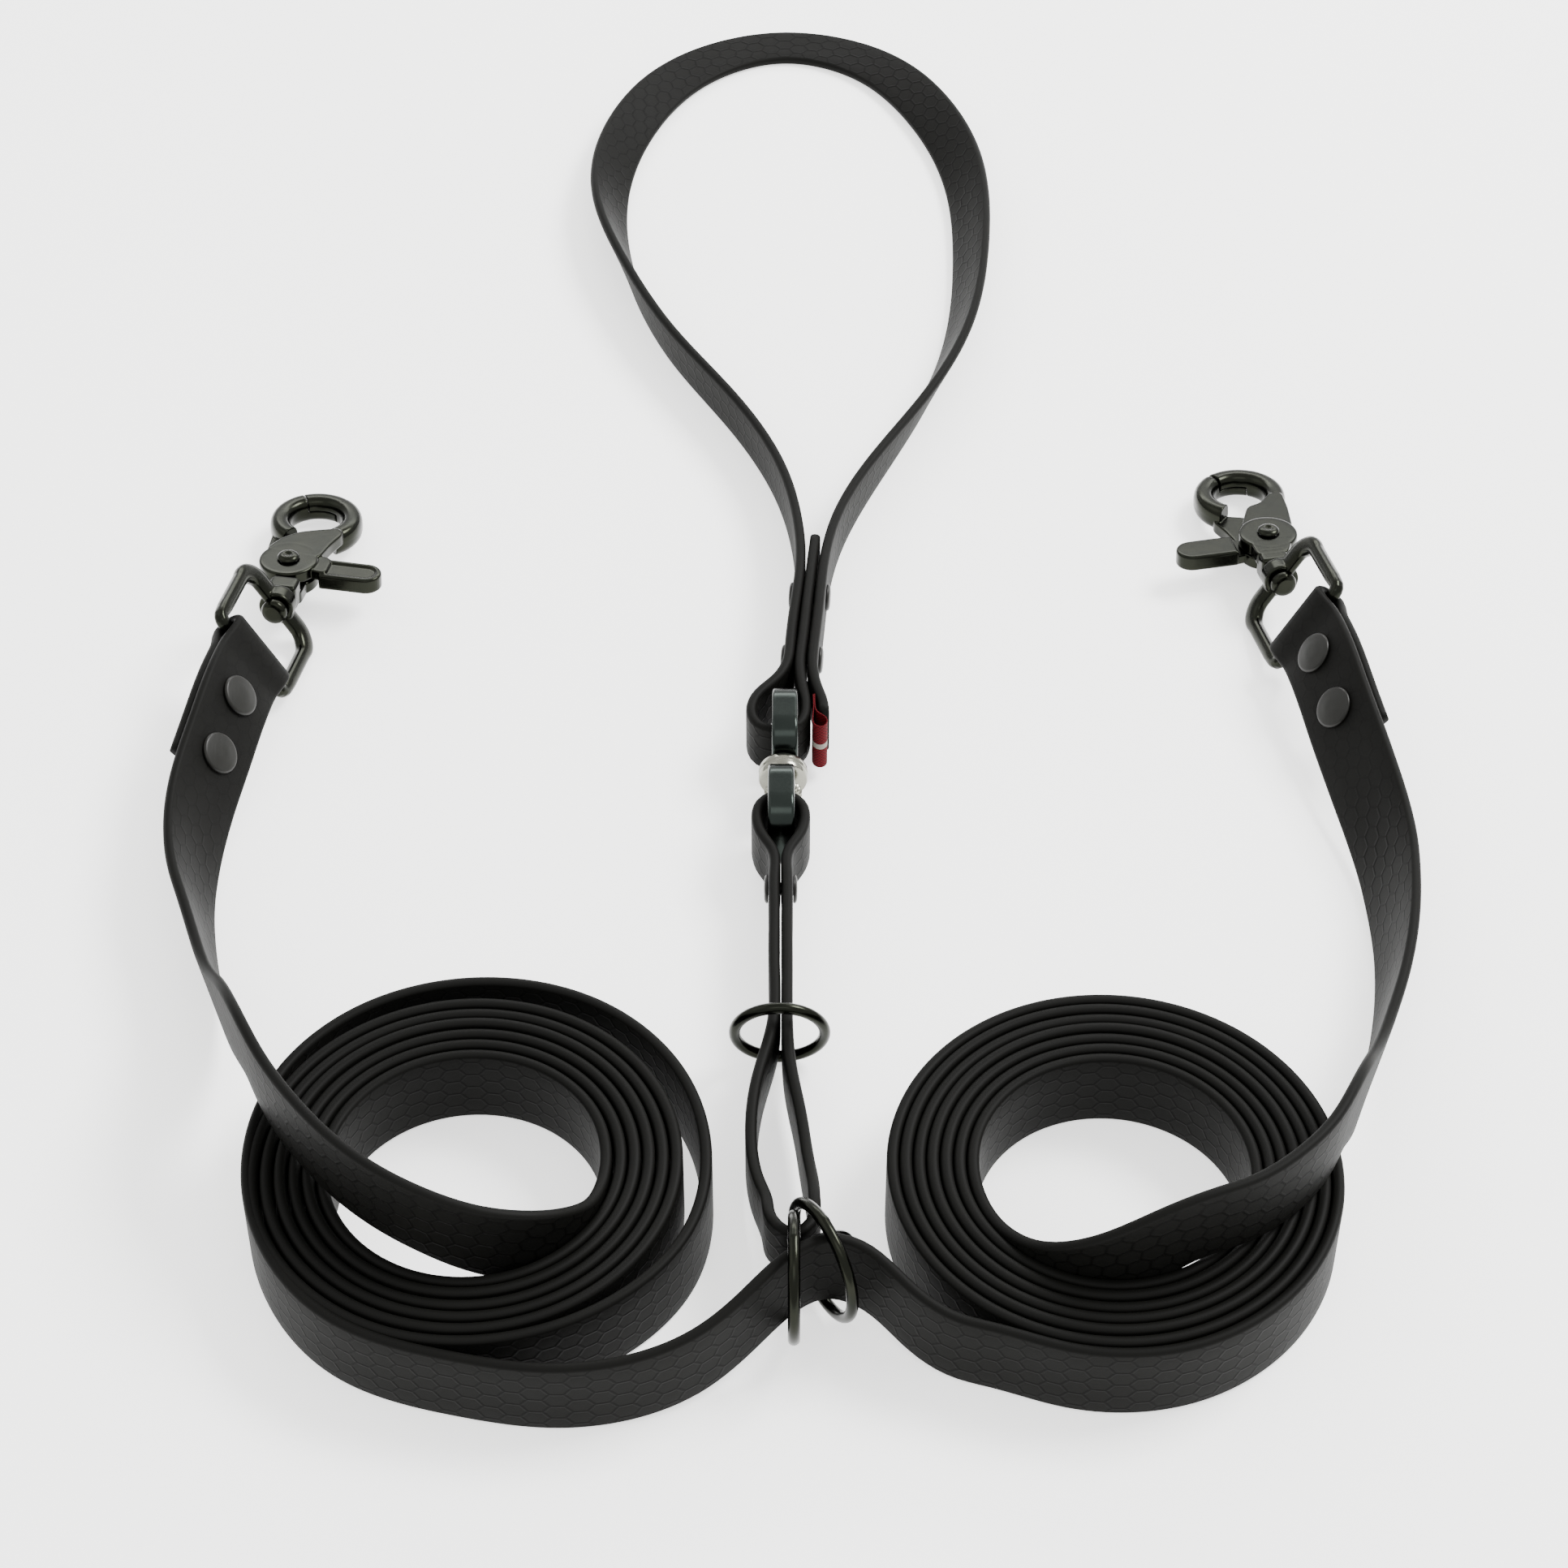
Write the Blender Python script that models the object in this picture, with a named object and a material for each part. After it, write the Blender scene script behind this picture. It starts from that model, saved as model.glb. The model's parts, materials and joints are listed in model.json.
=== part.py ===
# Training leash: a hand loop on a double-eye swivel, a yoke band with a slider ring, and one long rein that
# runs through two rein rings and carries a swivel trigger snap at each end. It lies coiled on a flat surface.
# Lengths below are millimetres; the meshes are metres with +Z up.
import bmesh
import bpy
import math
import numpy as np
from mathutils import Matrix, Vector

MM = 0.001
GAP = 0.3  # air between touching pieces
LAYOUT_CENTRE = (0.5, 61.1)  # the point of the layout that becomes the origin

# coated webbing
THICK = 2.4
REIN_WIDTH = 19.0
HANDLE_WIDTH = 13.0
LAYER = THICK + GAP  # from one layer's middle to the next
REIN_Z = REIN_WIDTH / 2 + 0.1  # the middle of a rein that stands on its edge

# coils of the rein
COIL_HEIGHT = 19.0
LEFT_COIL = (-62.1, -123.6)
LEFT_COIL_OUT = 41.0
RIGHT_COIL = (64.4, -124.5)
RIGHT_COIL_OUT = 43.4
COIL_IN = 28.8
TAIL_TURN = COIL_IN - GAP - THICK / 2  # the last inner turn, inside the coil

# rings
WIRE = 1.2  # radius of the ring wire
BIG_RING = 11.8  # middle of the wire
SMALL_RING = 9.3
SLIDER_AT = (-0.9, -83.0, 10.6)
SLIDER_LEAN = 9.0
LEFT_RING_AT = (1.9, -149.6, 15.4)
RIGHT_RING_AT = (7.55, -145.3, 15.3)
RIGHT_RING_TURN = 28.0
LINK_RING_AT = (4.6, -143.15, 10.5)
LINK_RING_TURN = 31.0
LINK_RING_LEAN = 10.5

# double-eye swivel, in line with Y
EYE_THICK = 5.0
EYE_Z = 9.8
EYE_HALF_OUT = (9.7, 9.7)  # along Y, along Z
EYE_WIRE = 2.5
UPPER_EYE = (0.2, 5.0)
LOWER_EYE = (-0.6, -19.0)
PIN_RADIUS = 1.9
SWIVEL_X = -0.2

# rivets
RIVET_SHAFT = 1.4
RIVET_CAP = 4.8
CAP_THICK = 1.1

# swivel trigger snap, in its own frame: origin at the trigger pin, Y towards the eye, Z through the plates
SNAP_EYE = (1.0, 20.2)
EYE_IN, EYE_OUT = 6.45, 10.95
SNAP_HALF = 2.8  # half the thickness of the eye
PLATE_RADIUS = 6.2
PLATE_TOP = 3.3
STUD_X = 1.5
STUD_RADIUS = 2.0
NECK_END = -12.0
BOSS_LENGTH = 4.2
STUD_HEAD = (3.4, 2.2)  # radius, length
TRIGGER_PIN = 1.5
LEVER_TIP = 22.4
STEP = 0.03  # joined solids stand this far off each other's faces

# swivel loop: origin at the middle of its bar, X along the bar, Y towards the boss
LOOP_HALF = 11.6
LOOP_LENGTH = 21.8
LOOP_WIRE = 1.55
LOOP_BOSS = 4.1
LOOP_CORNER = 2.0
LOOP_BAR_BEND = LOOP_WIRE + GAP + THICK / 2  # radius of the fold round the bar
TAB_LENGTH = 36.5

COLOURS = {
    "webbing": ((0.022, 0.023, 0.022), 0.62, 0.0),
    "gunmetal": ((0.09, 0.09, 0.095), 0.28, 1.0),
    "rivet_cap": ((0.05, 0.055, 0.055), 0.45, 1.0),
    "nickel": ((0.78, 0.77, 0.72), 0.22, 1.0),
    "ribbon": ((0.55, 0.03, 0.06), 0.8, 0.0),
}


def clear_scene():
    for old in list(bpy.data.objects):
        bpy.data.objects.remove(old)


def material(name, node):
    rgb, rough, metal = COLOURS[name]
    made = bpy.data.materials.new(node + "_" + name)
    made.use_nodes = True
    shader = made.node_tree.nodes["Principled BSDF"]
    shader.inputs["Base Color"].default_value = (*rgb, 1.0)
    shader.inputs["Roughness"].default_value = rough
    shader.inputs["Metallic"].default_value = metal
    made.diffuse_color = (*rgb, 1.0)
    return made


# ---------------------------------------------------------------- shapes: each is (points, faces), in mm


def grid_faces(rows, across, closed_rows, closed_across):
    """Quads of a grid of points, rows by across."""
    faces = []
    for i in range(rows if closed_rows else rows - 1):
        for j in range(across if closed_across else across - 1):
            a, b = i * across + j, i * across + (j + 1) % across
            c, d = ((i + 1) % rows) * across + (j + 1) % across, ((i + 1) % rows) * across + j
            faces.append((a, b, c, d))
    return faces


def tube(sections, closed):
    """A skin over cross-sections of equal point count, capped at both ends unless it is closed."""
    rows, across = len(sections), len(sections[0])
    faces = grid_faces(rows, across, closed, True)
    if not closed:
        faces += [tuple(range(across)), tuple((rows - 1) * across + j for j in range(across))]
    return np.concatenate(sections), faces


def prism(outline, low, high):
    """An outline in XY, extruded along Z."""
    flat = np.array(outline, float)
    sections = [np.column_stack([flat, np.full(len(flat), z)]) for z in (low, high)]
    return tube(sections, False)


def turned(profile, steps=18):
    """A profile of (radius, height) turned round Z; its ends lie on the axis."""
    rows = []
    for k in range(steps):
        angle = 2 * math.pi * k / steps
        rows.append([(r * math.cos(angle), r * math.sin(angle), z) for r, z in profile[1:-1]])
    points = np.array(rows, float).reshape(-1, 3)
    across = len(profile) - 2
    faces = grid_faces(steps, across, True, False)
    low, high = len(points), len(points) + 1
    ends = [(0, 0, profile[0][1]), (0, 0, profile[-1][1])]
    for k in range(steps):
        after = (k + 1) % steps
        faces.append((low, k * across, after * across))
        faces.append((high, after * across + across - 1, k * across + across - 1))
    return np.concatenate([points, ends]), faces


def cylinder(radius, low, high, steps=18):
    return turned([(0, low), (radius, low), (radius, high), (0, high)], steps)


def turned_ring(profile, steps=60):
    """A closed profile of (radius, height), clear of the axis, turned round Z."""
    sections = []
    for k in range(steps):
        angle = 2 * math.pi * k / steps
        sections.append(np.array([(r * math.cos(angle), r * math.sin(angle), z) for r, z in profile]))
    return tube(sections, True)


def arc_outline(centre, inner, outer, start, end, steps=10):
    """A flat arc between two angles, in degrees."""
    angles = np.radians(np.linspace(start, end, steps))
    ring = np.column_stack([np.cos(angles), np.sin(angles)])
    return np.concatenate([centre + outer * ring, centre + inner * ring[::-1]])


def rounded_rectangle(half_x, half_y, corner, steps=6):
    points = []
    for quarter, (sx, sy) in enumerate([(1, 1), (-1, 1), (-1, -1), (1, -1)]):
        for k in range(steps + 1):
            angle = math.radians(90 * quarter + 90 * k / steps)
            points.append((sx * (half_x - corner) + corner * math.cos(angle),
                           sy * (half_y - corner) + corner * math.sin(angle)))
    return np.array(points)


def placed(shape, frame, origin=(0, 0, 0)):
    """A shape moved into a frame, whose rows are its X, Y and Z axes in the layout."""
    points, faces = shape
    return points @ np.array(frame, float) + np.array(origin, float), faces


def frame_along(direction, side=(0, 0, 1)):
    """Axes whose Z is the direction."""
    z = unit(direction)
    x = np.cross(side, z)
    if np.linalg.norm(x) < 0.01:
        x = np.cross((1, 0, 0), z)
    x = unit(x)
    return np.array([x, np.cross(z, x), z])


def unit(vector):
    vector = np.array(vector, float)
    return vector / np.linalg.norm(vector)


# ---------------------------------------------------------------- objects


def raw_object(name, shape):
    """A mesh object in its own millimetres, with its faces pointing out."""
    points, faces = shape
    mesh = bpy.data.meshes.new(name)
    mesh.from_pydata([tuple(p) for p in points], [], faces)
    skin = bmesh.new()
    skin.from_mesh(mesh)
    bmesh.ops.recalc_face_normals(skin, faces=skin.faces)
    skin.to_mesh(mesh)
    skin.free()
    made = bpy.data.objects.new(name, mesh)
    bpy.context.scene.collection.objects.link(made)
    return made


def finished(made, colour, frame=np.eye(3), origin=(0, 0, 0)):
    """Puts a mesh from its frame's millimetres into the layout's metres, and gives it its material."""
    place = Matrix(np.array(frame).T).to_4x4()
    place.translation = Vector(np.array(origin) - (*LAYOUT_CENTRE, 0))
    made.data.transform(Matrix.Scale(MM, 4) @ place)
    made.data.materials.clear()
    made.data.materials.append(material(colour, made.name))
    made.data.shade_smooth()
    made.data.set_sharp_from_angle(angle=math.radians(35))
    return made


def new_object(name, shape, colour):
    return finished(raw_object(name, shape), colour)


def carved(name, colour, solids, cuts=(), frame=np.eye(3), origin=(0, 0, 0)):
    """One body: the first solid with the others joined to it and the cuts taken out."""
    base = raw_object(name, solids[0])
    tools = []
    for number, (operation, shape) in enumerate([("UNION", s) for s in solids[1:]] +
                                                [("DIFFERENCE", c) for c in cuts]):
        tool = raw_object(name + "_tool_" + str(number), shape)
        change = base.modifiers.new("carve_" + str(number), "BOOLEAN")
        change.operation = operation
        change.object = tool
        tools.append(tool)
    bpy.context.view_layer.update()
    done = bpy.data.meshes.new_from_object(base.evaluated_get(bpy.context.evaluated_depsgraph_get()))
    base.modifiers.clear()
    base.data = done
    done.name = name
    for tool in tools:
        bpy.data.objects.remove(tool)
    return finished(base, colour, frame, origin)


def set_origin(piece, point):
    """Puts the origin on a joint's axis without moving the mesh."""
    place = (np.array(point) - (*LAYOUT_CENTRE, 0)) * MM
    piece.data.transform(Matrix.Translation(-place))
    piece.location = place


# ---------------------------------------------------------------- straps


def smooth_route(points, step, closed=False):
    """A natural cubic spline through hand-chosen points (x, y, z, lean), read off every step."""
    knots = np.array(points, float)
    if closed:
        knots = np.concatenate([knots[-3:], knots, knots[:4]])
    along = np.r_[0, np.cumsum(np.linalg.norm(np.diff(knots[:, :3], axis=0), axis=1))]
    gaps = np.diff(along)
    count = len(knots)
    system = np.zeros((count, count))
    right = np.zeros(knots.shape)
    system[0, 0] = system[-1, -1] = 1
    for i in range(1, count - 1):
        system[i, i - 1:i + 2] = gaps[i - 1], 2 * (gaps[i - 1] + gaps[i]), gaps[i]
        right[i] = 6 * ((knots[i + 1] - knots[i]) / gaps[i] - (knots[i] - knots[i - 1]) / gaps[i - 1])
    bend = np.linalg.solve(system, right)
    start, end = (along[3], along[-4]) if closed else (along[0], along[-1])
    places = np.linspace(start, end, max(4, round((end - start) / step) + 1))
    if closed:
        places = places[:-1]
    k = np.clip(np.searchsorted(along, places, side="right") - 1, 0, count - 2)
    h = gaps[k][:, None]
    b = (places - along[k])[:, None]
    a = h - b
    curve = bend[k] * a ** 3 / (6 * h) + bend[k + 1] * b ** 3 / (6 * h)
    return curve + (knots[k] / h - bend[k] * h / 6) * a + (knots[k + 1] / h - bend[k + 1] * h / 6) * b


def tangents(centres, closed=False):
    if closed:
        ahead = np.roll(centres, -1, axis=0) - np.roll(centres, 1, axis=0)
    else:
        ahead = np.gradient(centres, axis=0)
    return ahead / np.linalg.norm(ahead, axis=1)[:, None]


def upright(centres, leans, closed=False):
    """The direction across the strap at each point: up, tipped to the left of travel by the lean."""
    ahead = tangents(centres, closed)
    left = np.cross((0, 0, 1), ahead)
    left /= np.linalg.norm(left, axis=1)[:, None]
    up = np.cross(ahead, left)
    angle = np.radians(leans)[:, None]
    return np.cos(angle) * up + np.sin(angle) * left


def strap(centres, across, width, closed=False):
    """Webbing of one width along a line of centres."""
    ahead = tangents(centres, closed)
    across = across - ahead * np.sum(across * ahead, axis=1)[:, None]
    across /= np.linalg.norm(across, axis=1)[:, None]
    face = np.cross(ahead, across)
    w, t = width / 2, THICK / 2
    profile = [(w, t), (w, -t), (-w, -t), (-w, t)]
    sections = []
    for i in range(len(centres)):
        sections.append(np.array([centres[i] + across[i] * a + face[i] * b for a, b in profile]))
    return tube(sections, closed)


def circle_points(centre, radii, angles, heights, leans):
    """Route points at angles round a coil's centre."""
    return [(centre[0] + r * math.cos(math.radians(a)), centre[1] + r * math.sin(math.radians(a)), z, lean)
            for r, a, z, lean in zip(radii, angles, heights, leans)]


BRIDGE_AT_RINGS = [(-16.0, -165.5, 11.0, 0), (-6.0, -157.0, 13.2, 0), (1.9, -150.0, 15.35, 0),
                   (8.35, -146.9, 15.35, 0), (15.5, -148.2, 13.8, 0), (24.0, -155.5, 11.5, 0),
                   (33.0, -161.5, 9.8, 0)]
CREST = [(-1.25, -141.4, 15.5), (1.45, -143.1, 15.5), (5.0, -141.0, 15.5), (5.95, -135.5, 15.0)]


def bridge_route():
    """From the loose outer turn of the left coil, through both rein rings, to the right coil's outer turn."""
    turn = circle_points(LEFT_COIL, [43.2, 44.6, 46.6, 46.8, 47.4, 48.0, 47.7, 47.0, 45.5, 43.6, 43.4, 44.6],
                         [-78, -50, -22, 2, 30, 60, 90, 120, 150, 180, 210, 238], [REIN_Z] * 12, [0] * 12)
    front = [(-62.0, -170.4, REIN_Z, 0), (-44.0, -173.0, REIN_Z, 0), (-29.0, -171.2, 9.9, 0)]
    merge = circle_points(RIGHT_COIL, [46.2, 45.0, 45.0, 45.0], [-122, -104, -88, -72], [REIN_Z] * 4, [0] * 4)
    return turn + front + BRIDGE_AT_RINGS + merge


def right_tail_route():
    turn = circle_points(RIGHT_COIL, [27.1, 27.1, 27.0, 26.8, 26.6, 26.7, 27.9],
                         [188, 212, 236, 256, 274, 290, 305], [REIN_Z, 9.9, 12.6, 17.6, 23.4, 27.6, 29.3], [0] * 7)
    return turn + [(89.5, -143.6, 29.5, 0), (98.5, -137.0, 29.5, 0), (106.0, -128.0, 29.4, -2),
                   (110.4, -119.4, 28.6, -4), (114.2, -110.0, 22.6, -6), (118.0, -99.0, 15.8, -8),
                   (122.4, -86.5, 11.6, -8), (126.4, -73.0, 10.2, -12), (129.6, -56.0, 10.0, -19),
                   (130.6, -38.0, 9.8, -28), (129.4, -17.0, 10.6, -36), (124.9, 8.4, 13.6, -38.5),
                   (121.9, 24.4, 15.6, -37), (119.6, 36.5, 14.2, -35.5)]


def left_tail_route():
    turn = circle_points(LEFT_COIL, [27.0, 26.9, 26.6, 26.0], [-2, -26, -46, -62],
                         [REIN_Z, 11.4, 16.4, 21.4], [0] * 4)
    return turn + [(-58.5, -147.6, 24.8, 0), (-68.0, -145.6, 27.4, 0), (-77.4, -141.0, 28.9, 0),
                   (-86.6, -133.6, 29.5, 0), (-95.2, -123.6, 29.6, 0), (-102.4, -112.4, 29.5, 1),
                   (-107.4, -102.0, 29.2, 3), (-111.8, -91.0, 23.4, 5), (-115.9, -80.0, 15.6, 8),
                   (-120.2, -67.5, 11.2, 9), (-124.6, -52.0, 10.1, 14), (-127.8, -38.0, 9.9, 24),
                   (-129.0, -22.0, 10.6, 34), (-126.0, -1.6, 13.4, 38.5), (-123.2, 13.4, 15.4, 37),
                   (-120.8, 27.0, 14.0, 35.5)]


def tab_lines(route, up):
    """The middle line of a rein's tail, and the folded tab at its end, riveted back on itself."""
    line = smooth_route(route, 4.0)
    centres, leans = line[:, :3], line[:, 3]
    across = upright(centres, leans)
    ahead = tangents(centres)
    face = np.cross(ahead, across) * up
    left = np.r_[np.cumsum(np.linalg.norm(np.diff(centres, axis=0), axis=1)[::-1])[::-1], 0]
    return centres, across, ahead, face, left


def ease(value):
    value = np.clip(value, 0, 1)
    return value * value * (3 - 2 * value)


def tail_with_tab(route, up):
    """Centres and cross directions of the whole tail: along, round the loop's bar, and back underneath."""
    centres, across, ahead, face, left = tab_lines(route, up)
    spread = LAYER / 2 + (LOOP_BAR_BEND - LAYER / 2) * ease(1 - left / 7.2)
    over = spread * ease((75 - left) / 30)
    upper = centres + face * over[:, None]
    bar, toward, out, along_bar = centres[-1], ahead[-1], face[-1], across[-1]
    bend = [bar + LOOP_BAR_BEND * (math.cos(a) * out + math.sin(a) * toward)
            for a in np.linspace(0, math.pi, 9)[1:-1]]
    back = left < TAB_LENGTH
    under = (centres - face * spread[:, None])[back][::-1]
    path = np.concatenate([upper, bend, under])
    sides = np.concatenate([across, [along_bar] * len(bend), across[back][::-1]])
    return path, sides


def tab_place(route, up, distance):
    """Where a rivet goes through the tab: its point and its axis."""
    centres, across, ahead, face, left = tab_lines(route, up)
    index = int(np.argmin(abs(left - distance)))
    return centres[index], face[index]


def rivet_shape(point, axis, half):
    """A tubular rivet: a shaft and two domed caps, standing a gap clear of both faces."""
    inner = half + GAP + 0.1
    profile = [(0, -inner - CAP_THICK), (RIVET_CAP, -inner - CAP_THICK * 0.5), (RIVET_CAP, -inner),
               (RIVET_SHAFT, -inner), (RIVET_SHAFT, inner), (RIVET_CAP, inner),
               (RIVET_CAP, inner + CAP_THICK * 0.5), (0, inner + CAP_THICK)]
    return placed(turned(profile, 16), frame_along(axis), point)


def rivet_hole(point, axis, half):
    return placed(cylinder(RIVET_SHAFT + GAP, -half - 2, half + 2, 12), frame_along(axis), point)


# ---------------------------------------------------------------- sub-parts


def rein_coils():
    for name, centre, outer in (("left_rein_coil", LEFT_COIL, LEFT_COIL_OUT),
                                ("right_rein_coil", RIGHT_COIL, RIGHT_COIL_OUT)):
        profile = [(COIL_IN, 0.1), (outer, 0.1), (outer, COIL_HEIGHT), (COIL_IN, COIL_HEIGHT)]
        new_object(name, placed(turned_ring(profile), np.eye(3), (*centre, 0)), "webbing")


def rein_bridge():
    line = smooth_route(bridge_route(), 4.0)
    new_object("rein_bridge", strap(line[:, :3], upright(line[:, :3], line[:, 3]), REIN_WIDTH), "webbing")


def rein_tail(side, route, up, rivets_at):
    path, sides = tail_with_tab(route, up)
    half = LAYER / 2 + THICK / 2
    places = [tab_place(route, up, distance) for distance in rivets_at]
    carved(side + "_rein_tail", "webbing", [strap(path, sides, REIN_WIDTH)],
           [rivet_hole(point, axis, half) for point, axis in places])
    for number, (point, axis) in enumerate(places, 1):
        new_object(f"{side}_tab_rivet_{number}", rivet_shape(point, axis, half), "rivet_cap")


HANDLE_ROUTE = [
    (7.3, 67.0, 9.0, 0), (6.5, 58.0, 9.4, 0), (5.2, 43.0, 9.7, 0), (4.1, 30.0, 9.8, 0), (3.6, 22.5, 9.8, 0),
    (4.3, 15.0, 9.8, 0), (4.8, 9.0, 9.8, 0), (3.2, 3.6, 9.8, 0), (-1.2, 1.7, 9.8, 0), (-5.6, 3.2, 9.8, 0),
    (-7.3, 7.8, 9.8, 0), (-5.6, 13.6, 9.8, 0), (-1.6, 18.6, 9.8, 0), (0.7, 23.8, 9.8, 0), (1.4, 30.0, 9.8, 0),
    (2.5, 43.0, 9.7, 0), (3.8, 58.0, 9.4, 0), (3.2, 74.0, 8.4, 0), (-0.6, 95.0, 7.2, 0), (-13.0, 124.0, 6.7, 3),
    (-27.5, 149.0, 6.7, 7), (-39.5, 178.0, 6.9, 16), (-46.2, 214.0, 6.2, 42), (-39.8, 252.0, 4.4, 64),
    (-22.5, 280.0, 2.3, 82), (0.0, 290.0, 1.5, 88), (21.5, 282.0, 2.3, 82), (37.8, 259.0, 4.2, 66),
    (47.6, 226.0, 5.6, 50), (48.6, 190.0, 6.3, 40), (43.0, 150.0, 6.7, 29), (32.0, 121.0, 6.9, 17),
    (20.4, 97.0, 7.4, 5), (12.6, 76.0, 8.4, 0), (9.3, 58.0, 9.4, 0), (8.0, 43.0, 9.7, 0), (6.85, 30.0, 9.8, 0),
    (6.5, 22.0, 9.8, 0), (7.6, 15.0, 9.8, 0), (8.7, 10.5, 9.8, 0), (8.9, 7.2, 9.8, 0)]
HANDLE_RIVETS = [(4.12, 30.5, 9.8), (5.98, 52.0, 9.6)]
HANDLE_RIVET_AXIS = (0.9963, -0.086, 0)


def handle():
    line = smooth_route(HANDLE_ROUTE, 3.4)
    half = LAYER + THICK / 2
    cuts = [rivet_hole(point, HANDLE_RIVET_AXIS, half) for point in HANDLE_RIVETS]
    loop = strap(line[:, :3], upright(line[:, :3], line[:, 3]), HANDLE_WIDTH)
    made = [carved("handle_strap", "webbing", [loop], cuts)]
    for number, point in enumerate(HANDLE_RIVETS, 1):
        shape = rivet_shape(point, HANDLE_RIVET_AXIS, half)
        made.append(new_object(f"handle_rivet_{number}", shape, "rivet_cap"))
    outline = [(6.3, 12.5), (6.6, 8.0), (6.3, 4.6), (6.8, 2.4), (7.6, 2.4), (8.1, 4.6), (7.2, 8.0), (6.8, 12.5)]
    made.append(new_object("label_tab", prism(outline, EYE_Z - 6.4, EYE_Z + 6.4), "ribbon"))
    for piece in made:
        set_origin(piece, (UPPER_EYE[0], UPPER_EYE[1] + EYE_HALF_OUT[0] - EYE_WIRE / 2, EYE_Z))


def swivel_eye(name, centre, hole_side):
    """A rounded frame in the YZ plane with a hole for the swivel pin in one end wall."""
    outer = rounded_rectangle(*EYE_HALF_OUT, 6.5)
    inner = rounded_rectangle(EYE_HALF_OUT[0] - EYE_WIRE, EYE_HALF_OUT[1] - EYE_WIRE, 2.6)
    lift = EYE_THICK / 2
    sections = [np.column_stack([np.full(len(o), x), o]) for o, x in
                ((inner, -lift), (outer, -lift), (outer, lift), (inner, lift))]
    across = [np.array([s[k] for s in sections]) for k in range(len(outer))]
    body = placed(tube(across, True), np.eye(3), (centre[0], centre[1], EYE_Z))
    middle = centre[1] + hole_side * (EYE_HALF_OUT[0] - EYE_WIRE / 2)
    hole = placed(cylinder(PIN_RADIUS + GAP, -3, 3), frame_along((0, 1, 0)), (SWIVEL_X, middle, EYE_Z))
    return carved(name, "gunmetal", [body], [hole])


def swivel():
    upper = swivel_eye("swivel_upper_eye", UPPER_EYE, -1)
    lower = swivel_eye("swivel_lower_eye", LOWER_EYE, 1)
    top = UPPER_EYE[1] - EYE_HALF_OUT[0]
    low = LOWER_EYE[1] + EYE_HALF_OUT[0]
    head = low - EYE_WIRE - GAP
    profile = [(0, head - 1.6), (3.4, head - 1.6), (4.2, head - 0.8),
               (4.2, head), (PIN_RADIUS, head), (PIN_RADIUS, low + GAP),
               (4.6, low + GAP), (5.4, low + GAP + 0.8), (5.4, top - GAP - 0.8), (4.6, top - GAP),
               (PIN_RADIUS, top - GAP), (PIN_RADIUS, top + EYE_WIRE + GAP), (3.0, top + EYE_WIRE + GAP),
               (2.6, top + EYE_WIRE + GAP + 0.8), (0, top + EYE_WIRE + GAP + 0.8)]
    shape = placed(turned(profile), frame_along((0, 1, 0)), (SWIVEL_X, 0, EYE_Z))
    pin = new_object("swivel_pin", shape, "nickel")
    set_origin(upper, (SWIVEL_X, (top + low) / 2, EYE_Z))
    set_origin(pin, (SWIVEL_X, (top + low) / 2, EYE_Z))
    set_origin(lower, (LOWER_EYE[0], LOWER_EYE[1] - EYE_HALF_OUT[0] + EYE_WIRE / 2, EYE_Z))


YOKE_RIVET = (-0.7, -41.6, 9.8)


def yoke():
    right_leg = [(3.6, -21.2, 9.8), (4.5, -25.5, 9.8), (3.4, -30.6, 9.8), (0.95, -35.6, 9.8),
                 (0.66, -42.0, 9.8), (0.66, -52.0, 9.8), (0.66, -67.0, 9.8), (0.66, -83.0, 9.8),
                 (1.3, -95.0, 9.8), (3.3, -108.0, 9.8), (4.6, -124.0, 11.0)]
    left_leg = [(-4.6, -125.0, 11.0), (-6.8, -112.0, 9.8), (-5.4, -99.0, 9.8), (-2.3, -84.0, 9.8),
                (-2.06, -67.0, 9.8), (-2.06, -52.0, 9.8), (-2.06, -42.0, 9.8), (-2.35, -35.6, 9.8),
                (-4.8, -30.6, 9.8), (-5.9, -25.5, 9.8), (-5.0, -21.2, 9.8), (-0.7, -18.6, 9.8)]
    crest = [(5.6, -130.0, 12.8)] + CREST[::-1] + [(-2.7, -134.0, 13.6)]
    route = [(x, y, z, 0) for x, y, z in right_leg + crest + left_leg]
    line = smooth_route(route, 2.2, True)
    band = strap(line[:, :3], upright(line[:, :3], line[:, 3], True), HANDLE_WIDTH, True)
    half = LAYER / 2 + THICK / 2 + 0.2
    carved("yoke_band", "webbing", [band], [rivet_hole(YOKE_RIVET, (1, 0, 0), half + 1)])
    new_object("yoke_rivet", rivet_shape(YOKE_RIVET, (1, 0, 0), half), "rivet_cap")


def ring(name, centre, axis, radius):
    profile = [(radius + WIRE * math.cos(a), WIRE * math.sin(a)) for a in np.linspace(0, 2 * math.pi, 9)[:-1]]
    made = new_object(name, placed(turned_ring(profile, 36), frame_along(axis), centre), "gunmetal")
    set_origin(made, centre)
    return made


def rings():
    lean = math.radians(SLIDER_LEAN)
    ring("slider_ring", SLIDER_AT, (0, math.cos(lean), math.sin(lean)), SMALL_RING)
    turn = math.radians(RIGHT_RING_TURN)
    ring("left_rein_ring", LEFT_RING_AT, (1, 0, 0), BIG_RING)
    ring("right_rein_ring", RIGHT_RING_AT, (math.cos(turn), math.sin(turn), 0), BIG_RING)
    turn, lean = math.radians(LINK_RING_TURN), math.radians(LINK_RING_LEAN)
    back = np.array([-math.sin(turn), math.cos(turn), 0])
    ring("link_ring", LINK_RING_AT, math.cos(lean) * back + math.sin(lean) * np.array([0, 0, 1]), SMALL_RING)


# ---------------------------------------------------------------- snaps


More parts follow.
